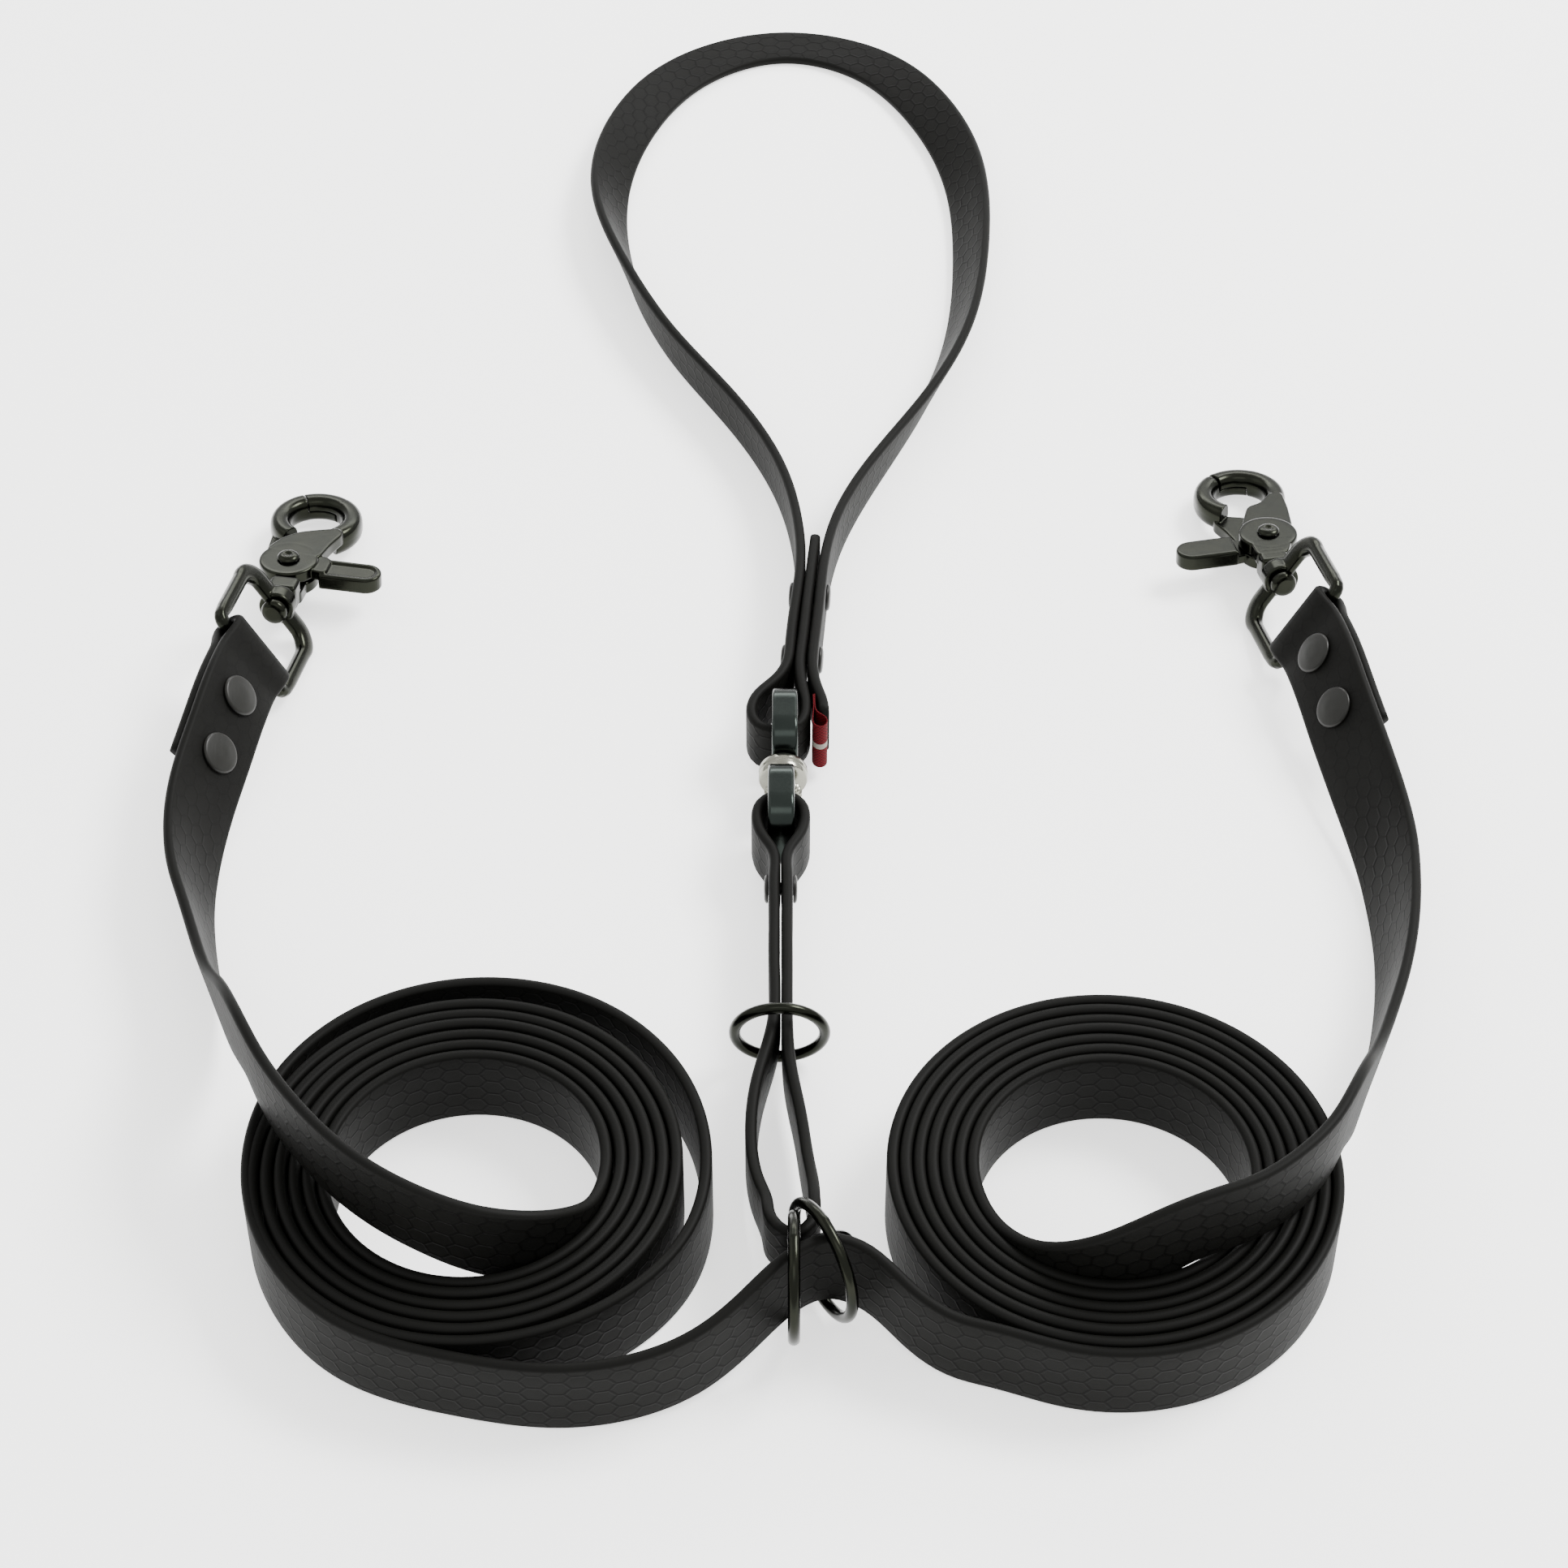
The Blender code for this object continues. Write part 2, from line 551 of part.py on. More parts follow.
def snap_frames(route, up):
    """The loop's frame at the tab's fold, and the hook's frame, whose rows are X, Y and Z."""
    centres, across, ahead, face, left = tab_lines(route, up)
    bar, forward = centres[-1], unit(ahead[-1])
    loop = np.array([unit(across[-1]) * up, forward, np.cross(unit(across[-1]) * up, forward)])
    flat = unit(np.array([0, 0, 1]) - forward * forward[2])
    hook = np.array([np.cross(forward, flat), forward, flat])
    if up < 0:
        hook = np.array([-hook[0], forward, -flat])
    pin = bar + forward * (LOOP_LENGTH + BOSS_LENGTH / 2 + GAP - NECK_END) - hook[0] * STUD_X
    return bar, loop, pin, hook


def swivel_loop(side, bar, frame):
    outline = rounded_rectangle(LOOP_HALF, LOOP_LENGTH / 2, LOOP_CORNER, 5) + (0, LOOP_LENGTH / 2)
    ahead = np.roll(outline, -1, axis=0) - np.roll(outline, 1, axis=0)
    ahead /= np.linalg.norm(ahead, axis=1)[:, None]
    sections = []
    for point, along in zip(outline, ahead):
        out = np.array([along[1], -along[0], 0])
        sections.append(np.array([np.array([*point, 0])
                                  + LOOP_WIRE * (math.cos(a) * out + np.array([0, 0, math.sin(a)]))
                                  for a in np.linspace(0, 2 * math.pi, 9)[:-1]]))
    wire = tube(sections, True)
    end = frame_along((0, 1, 0))
    boss = placed(cylinder(LOOP_BOSS, -BOSS_LENGTH / 2, BOSS_LENGTH / 2), end, (0, LOOP_LENGTH, 0))
    hole = placed(cylinder(STUD_RADIUS + GAP, -6, 6), end, (0, LOOP_LENGTH, 0))
    loop = carved(side + "_swivel_loop", "gunmetal", [wire, boss], [hole], frame, bar)
    set_origin(loop, bar)


def hook_body(side, pin, frame):
    """The half of the scissor snap that carries the neck and the stud."""
    eye = np.array(SNAP_EYE)
    half = GAP / 2
    plate = cylinder(PLATE_RADIUS, -PLATE_TOP, -half)
    link = prism([(-5.8, 1.9), (-7.6, 13.6), (-2.4, 15.0), (5.3, 3.0)], STEP - SNAP_HALF, -half - STEP)
    jaw = prism(arc_outline(eye, EYE_IN, EYE_OUT, 125, 228), -SNAP_HALF, SNAP_HALF)
    lap = prism(arc_outline(eye, EYE_IN + STEP, EYE_OUT - STEP, 60, 131), STEP * 2 - SNAP_HALF, -half - STEP * 2)
    root = prism([(-5.2, -3.0), (-1.6, -9.0), (4.6, -9.0), (5.2, -3.0)], STEP - PLATE_TOP, -half - STEP * 3)
    neck = prism([(STUD_X - 3.2, NECK_END), (STUD_X + 3.2, NECK_END), (STUD_X + 3.2, -6.9),
                  (STUD_X - 3.2, -6.9)], STEP * 2 - PLATE_TOP, 3.0)
    boss_end = NECK_END - GAP * 2 - BOSS_LENGTH
    stud_profile = [(0, boss_end - STUD_HEAD[1]), (STUD_HEAD[0], boss_end - STUD_HEAD[1]),
                    (STUD_HEAD[0], boss_end), (STUD_RADIUS, boss_end), (STUD_RADIUS, NECK_END + 2),
                    (0, NECK_END + 2)]
    stud = placed(turned(stud_profile), frame_along((0, 1, 0)), (STUD_X, 0, 0))
    hole = cylinder(TRIGGER_PIN + GAP, -8, 8)
    pocket = cylinder(3.6, -2.3, 1)
    body = carved(side + "_hook_body", "gunmetal", [plate, link, jaw, lap, root, neck, stud], [hole, pocket],
                  frame, pin)
    set_origin(body, pin + frame[0] * STUD_X)


def trigger(side, pin, frame):
    """The half that swings: plate, jaw and thumb lever."""
    eye = np.array(SNAP_EYE)
    half = GAP / 2
    plate = cylinder(PLATE_RADIUS, half, PLATE_TOP)
    link = prism([(5.8, 1.9), (9.4, 13.6), (4.4, 15.0), (-5.3, 3.0)], half + STEP, SNAP_HALF - STEP)
    jaw = prism(arc_outline(eye, EYE_IN, EYE_OUT, -48, 55), -SNAP_HALF, SNAP_HALF)
    lap = prism(arc_outline(eye, EYE_IN + STEP, EYE_OUT - STEP, 49, 120), half + STEP * 2, SNAP_HALF - STEP * 2)
    root = prism([(3.0, -2.2), (9.4, -3.4), (9.4, 3.0), (4.0, 4.0)], half + STEP * 3, 2.6)
    tip = [(LEVER_TIP - 3.7 + 3.7 * math.cos(a), -0.5 + 3.7 * math.sin(a)) for a in np.linspace(-1.57, 1.57, 10)]
    lever = prism([(8.2, -4.2)] + tip + [(8.2, 3.2)], -1.6, 2.2)
    hole = cylinder(TRIGGER_PIN + GAP, -8, 8)
    made = carved(side + "_trigger", "gunmetal", [plate, link, jaw, lap, root, lever], [hole], frame, pin)
    set_origin(made, pin)


def trigger_pin(side, pin, frame):
    end = PLATE_TOP + GAP
    profile = [(0, -end - 0.8), (2.0, -end - 0.8), (2.6, -end - 0.3), (2.6, -end), (TRIGGER_PIN, -end),
               (TRIGGER_PIN, end), (2.6, end), (2.6, end + 0.4), (2.0, end + 1.0), (0, end + 1.0)]
    made = new_object(side + "_trigger_pin", placed(turned(profile, 16), frame, pin), "gunmetal")
    set_origin(made, pin)


def trigger_spring(side, pin, frame):
    """A torsion coil of two turns round the pin, in the pocket of the lower plate."""
    radius, wire, turns, steps = 2.6, 0.25, 2, 14
    sections = []
    for k in range(turns * steps + 1):
        a = 2 * math.pi * k / steps
        out = np.array([math.cos(a), math.sin(a), 0])
        middle = out * radius + np.array([0, 0, -1.9 + 0.75 * k / steps])
        sections.append(np.array([middle + wire * (math.cos(b) * out + np.array([0, 0, math.sin(b)]))
                                  for b in np.linspace(0, 2 * math.pi, 6)[:-1]]))
    made = new_object(side + "_trigger_spring", placed(tube(sections, False), frame, pin), "nickel")
    set_origin(made, pin)


SIDES = {"left": (left_tail_route, 1, (14.6, 30.4)), "right": (right_tail_route, -1, (13.6, 29.4))}


def snaps():
    for side, (route, up, rivets_at) in SIDES.items():
        bar, loop, pin, hook = snap_frames(route(), up)
        rein_tail(side, route(), up, rivets_at)
        swivel_loop(side, bar, loop)
        hook_body(side, pin, hook)
        trigger(side, pin, hook)
        trigger_pin(side, pin, hook)
        trigger_spring(side, pin, hook)


def main():
    clear_scene()
    rein_coils()
    rein_bridge()
    handle()
    swivel()
    yoke()
    rings()
    snaps()


main()
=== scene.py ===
# Looks of the training leash: webbing worked out along given routes, cast hardware, rings and rivets.
# Routes and shapes are in millimetres of the layout; layoutCentre is the point that lies at the origin.
import bpy
import json
import math
import numpy as np
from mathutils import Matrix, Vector


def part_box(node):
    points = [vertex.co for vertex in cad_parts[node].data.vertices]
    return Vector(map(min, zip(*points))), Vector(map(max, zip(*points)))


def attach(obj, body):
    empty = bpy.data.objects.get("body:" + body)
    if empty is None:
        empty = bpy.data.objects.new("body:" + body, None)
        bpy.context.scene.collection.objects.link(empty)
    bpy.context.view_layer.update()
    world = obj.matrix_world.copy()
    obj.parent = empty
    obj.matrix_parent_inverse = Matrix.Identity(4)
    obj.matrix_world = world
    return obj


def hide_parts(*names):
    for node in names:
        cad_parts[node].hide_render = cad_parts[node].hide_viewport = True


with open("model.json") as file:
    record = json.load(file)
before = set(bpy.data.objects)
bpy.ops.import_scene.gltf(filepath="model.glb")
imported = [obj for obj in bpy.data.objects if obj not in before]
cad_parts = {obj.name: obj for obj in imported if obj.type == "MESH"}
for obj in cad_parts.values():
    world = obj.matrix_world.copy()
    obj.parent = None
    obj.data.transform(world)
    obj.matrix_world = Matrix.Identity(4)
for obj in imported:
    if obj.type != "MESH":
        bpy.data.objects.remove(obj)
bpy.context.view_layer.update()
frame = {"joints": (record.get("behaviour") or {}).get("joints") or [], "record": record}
joints = {joint["name"]: joint for joint in frame["joints"]}
layoutCentre = np.array([0.5, 61.1, 0.0])
print("frame loaded")


# ---- camera, lights and floor

view = {"lens": 83.85, "sensor": 36.0, "tilt": 45.0, "place": (0.0, -579.0, 579.0)}
studio = {"floor": "fafaf9", "sky": "ffffff", "skyStrength": 1.4, "floorGlow": 1.3}
lamps = [  # name, size in metres, watts, place in metres, what it points at
    ("keyBox", (0.9, 0.7), 64.0, (1.15, 0.55, 1.5), (0.0, 0.0, 0.0)),
    ("fillBox", (1.6, 1.2), 6.0, (-1.5, 0.2, 1.5), (0.0, 0.0, 0.0)),
    ("backStrip", (1.8, 0.35), 20.0, (0.1, 1.6, 1.0), (0.0, 0.0, 0.0)),
    ("frontCard", (1.5, 0.8), 8.0, (0.0, -1.2, 1.9), (0.0, -0.1, 0.0))]


def linear(code, alpha=1.0):
    # an sRGB hex value turned to the linear light that shaders use
    parts = [int(code[k:k + 2], 16) / 255 for k in (0, 2, 4)]
    return tuple(c / 12.92 if c <= 0.04045 else ((c + 0.055) / 1.055) ** 2.4 for c in parts) + (alpha,)


def addNode(tree, kind, settings=None, links=None):
    # one node: settings go on its attributes or sockets, links bring other nodes' sockets to its own
    node = tree.nodes.new(kind)
    for key, value in (settings or {}).items():
        if isinstance(key, str) and hasattr(node, key):
            setattr(node, key, value)
        else:
            node.inputs[key].default_value = value
    for key, source in (links or {}).items():
        tree.links.new(source, node.inputs[key])
    return node


def newMaterial(name):
    made = bpy.data.materials.new(name)
    made.use_nodes = True
    made.node_tree.nodes.clear()
    return made, made.node_tree


def finishMaterial(tree, settings, links):
    shader = addNode(tree, "ShaderNodeBsdfPrincipled", settings, links)
    addNode(tree, "ShaderNodeOutputMaterial", {}, {"Surface": shader.outputs[0]})


def setStage():
    camera = bpy.data.objects.new("viewCamera", bpy.data.cameras.new("viewCamera"))
    camera.data.lens, camera.data.sensor_width = view["lens"], view["sensor"]
    camera.location = (np.array(view["place"]) - layoutCentre) / 1000
    camera.rotation_euler = (math.radians(view["tilt"]), 0, 0)
    bpy.context.scene.collection.objects.link(camera)
    bpy.context.scene.camera = camera
    for name, size, watts, place, aim in lamps:
        light = bpy.data.lights.new(name, "AREA")
        light.shape, light.size, light.size_y, light.energy = "RECTANGLE", size[0], size[1], watts
        lamp = bpy.data.objects.new(name, light)
        turn = (Vector(place) - Vector(aim)).to_track_quat("Z", "Y")
        lamp.location, lamp.rotation_euler = place, turn.to_euler()
        bpy.context.scene.collection.objects.link(lamp)
    world = bpy.data.worlds.new("studioSky")
    world.use_nodes = True
    sky = world.node_tree.nodes["Background"]
    sky.inputs["Color"].default_value = linear(studio["sky"])
    sky.inputs["Strength"].default_value = studio["skyStrength"]
    bpy.context.scene.world = world
    floorMesh = bpy.data.meshes.new("paleFloor")
    floorMesh.from_pydata([(-6, -6, 0), (6, -6, 0), (6, 6, 0), (-6, 6, 0)], [], [(0, 1, 2, 3)])
    floor = bpy.data.objects.new("paleFloor", floorMesh)
    paint, tree = newMaterial("matteStudioPaper")
    paper = linear(studio["floor"])
    finishMaterial(tree, {"Base Color": paper, "Roughness": 0.9, "Emission Strength": studio["floorGlow"],
                          "Emission Color": paper}, {})
    floorMesh.materials.append(paint)
    bpy.context.scene.collection.objects.link(floor)


setStage()
print("stage set")


# ---- materials: noise scales are per metre, so 2600 is a grain of about 0.4 mm

coating = {"colour": "0b0b0a", "dust": "0f0f0d", "grooveShadeAndDirt": "050504", "cellAcross": 3.75, "cellAlong": 8.4,
           "rib": 0.11, "depth": 0.09, "edgeBlend": 0.6, "plainEnds": 90.0, "fadeOver": 30.0, "fadeTo": 0.25}
blackNickel = {"colour": "1b1d1a", "warm": "25261f", "rough": 0.22, "unevenness": 0.25}
satinNickel = {"colour": "262b29", "warm": "2d322f", "rough": 0.2, "unevenness": 0.05}
brightNickel = {"colour": "8d8d84", "warm": "7c7b70", "rough": 0.2, "unevenness": 0.15}
capPaint = {"colour": "131310", "rough": 0.36}
ribbonWeave = {"red": "60040f", "hollowShade": "2e0207", "band": "86827a", "yarn": 0.42, "bandHalf": 0.75}


def coatedWebbing():
    # PVC-coated polyester webbing, calendered: matte and slightly waxy, with a fine honeycomb pressed into
    # its faces. The UV map holds millimetres: U across the strap from its middle, V along it.
    made, tree = newMaterial("matte_pvc_coated_webbing")
    place = addNode(tree, "ShaderNodeUVMap", {"uv_map": "strap"}).outputs[0]
    cell = (coating["cellAcross"], coating["cellAlong"], 1.0)
    lattice = addNode(tree, "ShaderNodeVectorMath", {"operation": "DIVIDE", 1: cell}, {0: place}).outputs[0]
    far = []
    for shift in (0.0, 0.5):  # the two sets of cells of a honeycomb, the second half a cell on
        shifted = addNode(tree, "ShaderNodeVectorMath", {"operation": "ADD", 1: (shift, shift, 0)},
                          {0: lattice})
        wrapped = addNode(tree, "ShaderNodeVectorMath",
                          {"operation": "WRAP", 1: (0.5, 0.5, 1), 2: (-0.5, -0.5, -1)},
                          {0: shifted.outputs[0]})
        stretched = addNode(tree, "ShaderNodeVectorMath", {"operation": "MULTIPLY", 1: (1.0, 1.732, 0)},
                            {0: wrapped.outputs[0]})
        size = addNode(tree, "ShaderNodeVectorMath", {"operation": "ABSOLUTE"},
                       {0: stretched.outputs[0]}).outputs[0]
        slant = addNode(tree, "ShaderNodeVectorMath", {"operation": "DOT_PRODUCT", 1: (0.5, 0.866, 0)},
                        {0: size})
        side = addNode(tree, "ShaderNodeSeparateXYZ", {}, {0: size}).outputs[0]
        far.append(addNode(tree, "ShaderNodeMath", {"operation": "MAXIMUM"},
                           {0: slant.outputs["Value"], 1: side}).outputs[0])
    nearest = addNode(tree, "ShaderNodeMath", {"operation": "MINIMUM"}, {0: far[0], 1: far[1]}).outputs[0]
    pad = addNode(tree, "ShaderNodeMapRange", {"interpolation_type": "SMOOTHSTEP", "From Min": 0.5,
                  "From Max": 0.5 - coating["rib"]}, {"Value": nearest}).outputs[0]
    across = addNode(tree, "ShaderNodeAttribute", {"attribute_name": "faceShare"}).outputs["Fac"]
    pressed = addNode(tree, "ShaderNodeMath", {"operation": "MULTIPLY"}, {0: pad, 1: across}).outputs[0]
    spot = addNode(tree, "ShaderNodeTexCoord").outputs["Object"]
    grain = addNode(tree, "ShaderNodeTexNoise", {"Scale": 2600.0, "Detail": 3.0},
                    {"Vector": spot}).outputs["Fac"]
    cloud = addNode(tree, "ShaderNodeTexNoise", {"Scale": 55.0, "Detail": 4.0},
                    {"Vector": spot}).outputs["Fac"]
    colour = addNode(tree, "ShaderNodeMix", {"data_type": "RGBA", 6: linear(coating["colour"]),
                     7: linear(coating["dust"])}, {0: cloud}).outputs[2]
    plain = addNode(tree, "ShaderNodeMapRange", {"To Min": 1.0, "To Max": 0.0}, {"Value": across}).outputs[0]
    top = addNode(tree, "ShaderNodeMath", {"operation": "MAXIMUM"}, {0: pad, 1: plain}).outputs[0]
    # painted shade, with some dirt: the flat faces are coloured darker in the honeycomb's pressed grooves,
    # where less light reaches
    shade = addNode(tree, "ShaderNodeMix", {"data_type": "RGBA", 6: linear(coating["grooveShadeAndDirt"])},
                    {0: top, 7: colour}).outputs[2]
    rough = addNode(tree, "ShaderNodeMapRange", {"To Min": 0.5, "To Max": 0.6}, {"Value": cloud}).outputs[0]
    fine = addNode(tree, "ShaderNodeBump", {"Strength": 0.25, "Distance": 0.00006},
                   {"Height": grain}).outputs[0]
    bump = addNode(tree, "ShaderNodeBump", {"Strength": 0.8, "Distance": coating["depth"] / 1000},
                   {"Height": pressed, "Normal": fine}).outputs[0]
    finishMaterial(tree, {"Specular IOR Level": 0.06},
                   {"Base Color": shade, "Roughness": rough, "Normal": bump})
    return made


def platedMetal(name, look):
    # A plated casting, tumbled then electroplated: glossy, with soft unevenness under the plate.
    made, tree = newMaterial(name)
    spot = addNode(tree, "ShaderNodeTexCoord").outputs["Object"]
    swell = addNode(tree, "ShaderNodeTexNoise", {"Scale": 160.0, "Detail": 2.0},
                    {"Vector": spot}).outputs["Fac"]
    grain = addNode(tree, "ShaderNodeTexNoise", {"Scale": 1500.0, "Detail": 4.0},
                    {"Vector": spot}).outputs["Fac"]
    colour = addNode(tree, "ShaderNodeMix", {"data_type": "RGBA", 6: linear(look["colour"]),
                     7: linear(look["warm"])}, {0: swell}).outputs[2]
    rough = addNode(tree, "ShaderNodeMapRange", {"To Min": look["rough"] - 0.05,
                    "To Max": look["rough"] + 0.07}, {"Value": grain}).outputs[0]
    bump = addNode(tree, "ShaderNodeBump", {"Strength": look["unevenness"], "Distance": 0.0001},
                   {"Height": swell}).outputs[0]
    finishMaterial(tree, {"Metallic": 1.0}, {"Base Color": colour, "Roughness": rough, "Normal": bump})
    return made


def capCoat():
    # Powder-coated brass caps: satin black, faintly scuffed in fine lines.
    made, tree = newMaterial("satin_black_powder_coat")
    spot = addNode(tree, "ShaderNodeTexCoord").outputs["Object"]
    turned = addNode(tree, "ShaderNodeMapping", {"Rotation": (0.3, 0.5, 0.8), "Scale": (9.0, 1.0, 1.0)},
                     {"Vector": spot}).outputs[0]
    scuff = addNode(tree, "ShaderNodeTexNoise", {"Scale": 260.0, "Detail": 5.0},
                    {"Vector": turned}).outputs["Fac"]
    rough = addNode(tree, "ShaderNodeMapRange", {"To Min": capPaint["rough"] - 0.12,
                    "To Max": capPaint["rough"] + 0.16}, {"Value": scuff}).outputs[0]
    bump = addNode(tree, "ShaderNodeBump", {"Strength": 0.12, "Distance": 0.00005},
                   {"Height": scuff}).outputs[0]
    finishMaterial(tree, {"Base Color": linear(capPaint["colour"]), "Specular IOR Level": 0.22},
                   {"Roughness": rough, "Normal": bump})
    return made


def wovenRibbon():
    # Woven polyester tape: red with one pale stripe, its yarns 0.42 mm apart; the UV map holds millimetres.
    made, tree = newMaterial("woven_polyester_ribbon")
    place = addNode(tree, "ShaderNodeUVMap", {"uv_map": "strap"}).outputs[0]
    side = addNode(tree, "ShaderNodeSeparateXYZ", {}, {0: place}).outputs[0]
    off = addNode(tree, "ShaderNodeMath", {"operation": "ABSOLUTE"}, {0: side}).outputs[0]
    band = addNode(tree, "ShaderNodeMath", {"operation": "LESS_THAN", 1: ribbonWeave["bandHalf"]},
                   {0: off}).outputs[0]
    yarns = addNode(tree, "ShaderNodeVectorMath",
                    {"operation": "SCALE", "Scale": math.pi / ribbonWeave["yarn"]},
                    {0: place}).outputs[0]
    waves = addNode(tree, "ShaderNodeVectorMath", {"operation": "SINE"}, {0: yarns}).outputs[0]
    parts = addNode(tree, "ShaderNodeSeparateXYZ", {}, {0: waves})
    weave = addNode(tree, "ShaderNodeMath", {"operation": "MULTIPLY"},
                    {0: parts.outputs[0], 1: parts.outputs[1]})
    height = addNode(tree, "ShaderNodeMapRange", {"From Min": -1.0, "From Max": 1.0},
                     {"Value": weave.outputs[0]})
    # painted shade: the red is coloured darker where the weave's relief is low, in the hollows between the
    # yarns
    red = addNode(tree, "ShaderNodeMix", {"data_type": "RGBA", 6: linear(ribbonWeave["hollowShade"]),
                  7: linear(ribbonWeave["red"])}, {0: height.outputs[0]}).outputs[2]
    colour = addNode(tree, "ShaderNodeMix", {"data_type": "RGBA", 7: linear(ribbonWeave["band"])},
                     {0: band, 6: red}).outputs[2]
    bump = addNode(tree, "ShaderNodeBump", {"Strength": 0.6, "Distance": 0.00008},
                   {"Height": height.outputs[0]})
    finishMaterial(tree, {"Roughness": 0.75, "Specular IOR Level": 0.1},
                   {"Base Color": colour, "Normal": bump.outputs[0]})
    return made


finish = {"webbing": coatedWebbing(), "ribbon": wovenRibbon(), "cap": capCoat(),
          "gunmetal": platedMetal("black_nickel_on_zinc_casting", blackNickel),
          "nickel": platedMetal("bright_nickel_plate", brightNickel),
          "satin": platedMetal("satin_black_nickel", satinNickel)}
print("materials made")


# ---- shapes: points and faces as whole arrays, in millimetres


def gridFaces(rows, columns, closedRows, closedColumns):
    # quads between neighbours of a grid of points, wrapped round where it is closed
    i, j = np.meshgrid(np.arange(rows if closedRows else rows - 1),
                       np.arange(columns if closedColumns else columns - 1), indexing="ij")
    i2, j2 = (i + 1) % rows, (j + 1) % columns
    corners = [i * columns + j, i * columns + j2, i2 * columns + j2, i2 * columns + j]
    return np.stack(corners, -1).reshape(-1, 4)


def skin(sections, closed):
    # sections is rows x columns x 3; open ends get a flat cap
    rows, columns = sections.shape[:2]
    faces = [tuple(face) for face in gridFaces(rows, columns, closed, True).tolist()]
    if not closed:
        faces += [tuple(range(columns))[::-1], tuple(range((rows - 1) * columns, rows * columns))]
    return sections.reshape(-1, 3), faces


def joined(shapes):
    # several closed shapes in one list of points and faces
    points, faces, start = [], [], 0
    for some, theirs in shapes:
        points.append(some)
        faces += [tuple(k + start for k in face) for face in theirs]
        start += len(some)
    return np.concatenate(points), faces


def moved(shape, turn=None, place=(0, 0, 0)):
    # turn's rows are where the shape's own X, Y and Z go
    points, faces = shape
    return (points @ (np.eye(3) if turn is None else np.array(turn)) + np.array(place, float)), faces


def along(axis):
    # rows X, Y and Z of a frame whose Z is the axis
    z = np.array(axis, float) / np.linalg.norm(axis)
    x = np.cross((0, 1, 0) if abs(z[1]) < 0.8 else (1, 0, 0), z)
    x /= np.linalg.norm(x)
    return np.array([x, np.cross(z, x), z])


def running(points):
    # how far along a line each of its points lies
    return np.r_[0, np.cumsum(np.linalg.norm(np.diff(points, axis=0), axis=1))]


def superellipse(halfX, halfY, power, count, low=-9.0, high=9.0):
    # |x/halfX|^power + |y/halfY|^power = 1, its Y kept between low and high
    a = np.linspace(0, 2 * math.pi, count, endpoint=False) + math.pi / count
    x = halfX * np.sign(np.cos(a)) * abs(np.cos(a)) ** (2 / power)
    y = halfY * np.sign(np.sin(a)) * abs(np.sin(a)) ** (2 / power)
    return np.stack([x, np.clip(y, low, high)], -1)


def turnedShape(profile, steps=64, flutes=0, fluteDepth=0.0, fluteRows=()):
    # a profile of (radius, height) carried round Z; flutes ripple the radius of the rows that fluteRows names
    profile = np.array(profile, float)
    a = np.linspace(0, 2 * math.pi, steps, endpoint=False)
    ripple = np.zeros(len(profile))
    ripple[list(fluteRows)] = fluteDepth
    radius = profile[:, :1] * np.ones(steps) - ripple[:, None] * (0.5 + 0.5 * np.cos(flutes * a))
    return np.stack([radius * np.cos(a), radius * np.sin(a), profile[:, 1:] * np.ones(steps)], -1)


def lathe(profile, **more):
    # a turned solid whose profile starts and ends on small flat caps
    return skin(turnedShape(profile, **more), False)


def washer(inner, outer, low, high, soft=0.35, steps=72):
    # a flat ring with softened edges, as a closed profile carried round Z
    profile = superellipse((outer - inner) / 2, (high - low) / 2, 2 + 2.4 / soft, 24)
    profile = profile + ((outer + inner) / 2, (high + low) / 2)
    return skin(turnedShape(profile, steps).transpose(1, 0, 2), True)


def insetLine(outline, inset):
    # each point of a closed line moved inwards along its mean normal
    ahead, behind = np.roll(outline, -1, 0) - outline, outline - np.roll(outline, 1, 0)
    one = ahead / np.linalg.norm(ahead, axis=1)[:, None]
    two = behind / np.linalg.norm(behind, axis=1)[:, None]
    mean = one + two
    mean /= np.maximum(np.linalg.norm(mean, axis=1), 1e-6)[:, None]
    widen = 1 / np.maximum((mean * one).sum(1), 0.6)
    return outline + inset * np.stack([-mean[:, 1], mean[:, 0]], -1) * widen[:, None]


def plate(outline, low, high, edge=0.5, dish=0.0):
    # an outline in XY given a thickness, its edges rounded by quarter circles; dish sinks the top in a rim
    outline = np.array(outline, float)
    area = (outline[:, 0] * np.roll(outline[:, 1], -1) - outline[:, 1] * np.roll(outline[:, 0], -1)).sum()
    outline = outline if area > 0 else outline[::-1]
    a = np.linspace(0, math.pi / 2, 5)
    steps = [(edge * (1 - math.sin(t)), low + edge * (1 - math.cos(t))) for t in a]
    steps += [(edge * (1 - math.cos(t)), high - edge * (1 - math.sin(t))) for t in a]
    if dish:
        steps += [(edge + 0.55, high), (edge + 0.8, high - dish * 0.5), (edge + 1.0, high - dish)]
    rows = [np.column_stack([insetLine(outline, inset), np.full(len(outline), z)]) for inset, z in steps]
    return skin(np.array(rows), False)


def rounded(halfX, halfY, radius, count=8):
    # a rectangle with round corners, counter-clockwise
    a = np.linspace(0, math.pi / 2, count)
    arcs = []
    for k, (sx, sy) in enumerate([(1, 1), (-1, 1), (-1, -1), (1, -1)]):
        turn = a + k * math.pi / 2
        centre = np.array([sx * (halfX - radius), sy * (halfY - radius)])
        arcs.append(centre + radius * np.stack([np.cos(turn), np.sin(turn)], -1))
    return np.concatenate(arcs)


def dense(points, spacing):
    # a closed line given points no further apart than spacing, keeping its corners
    out = []
    for p, q in zip(points, np.roll(points, -1, 0)):
        count = max(1, int(math.ceil(np.linalg.norm(q - p) / spacing)))
        out.append(p + (q - p) * (np.arange(count) / count)[:, None])
    return np.concatenate(out)


# ---- objects


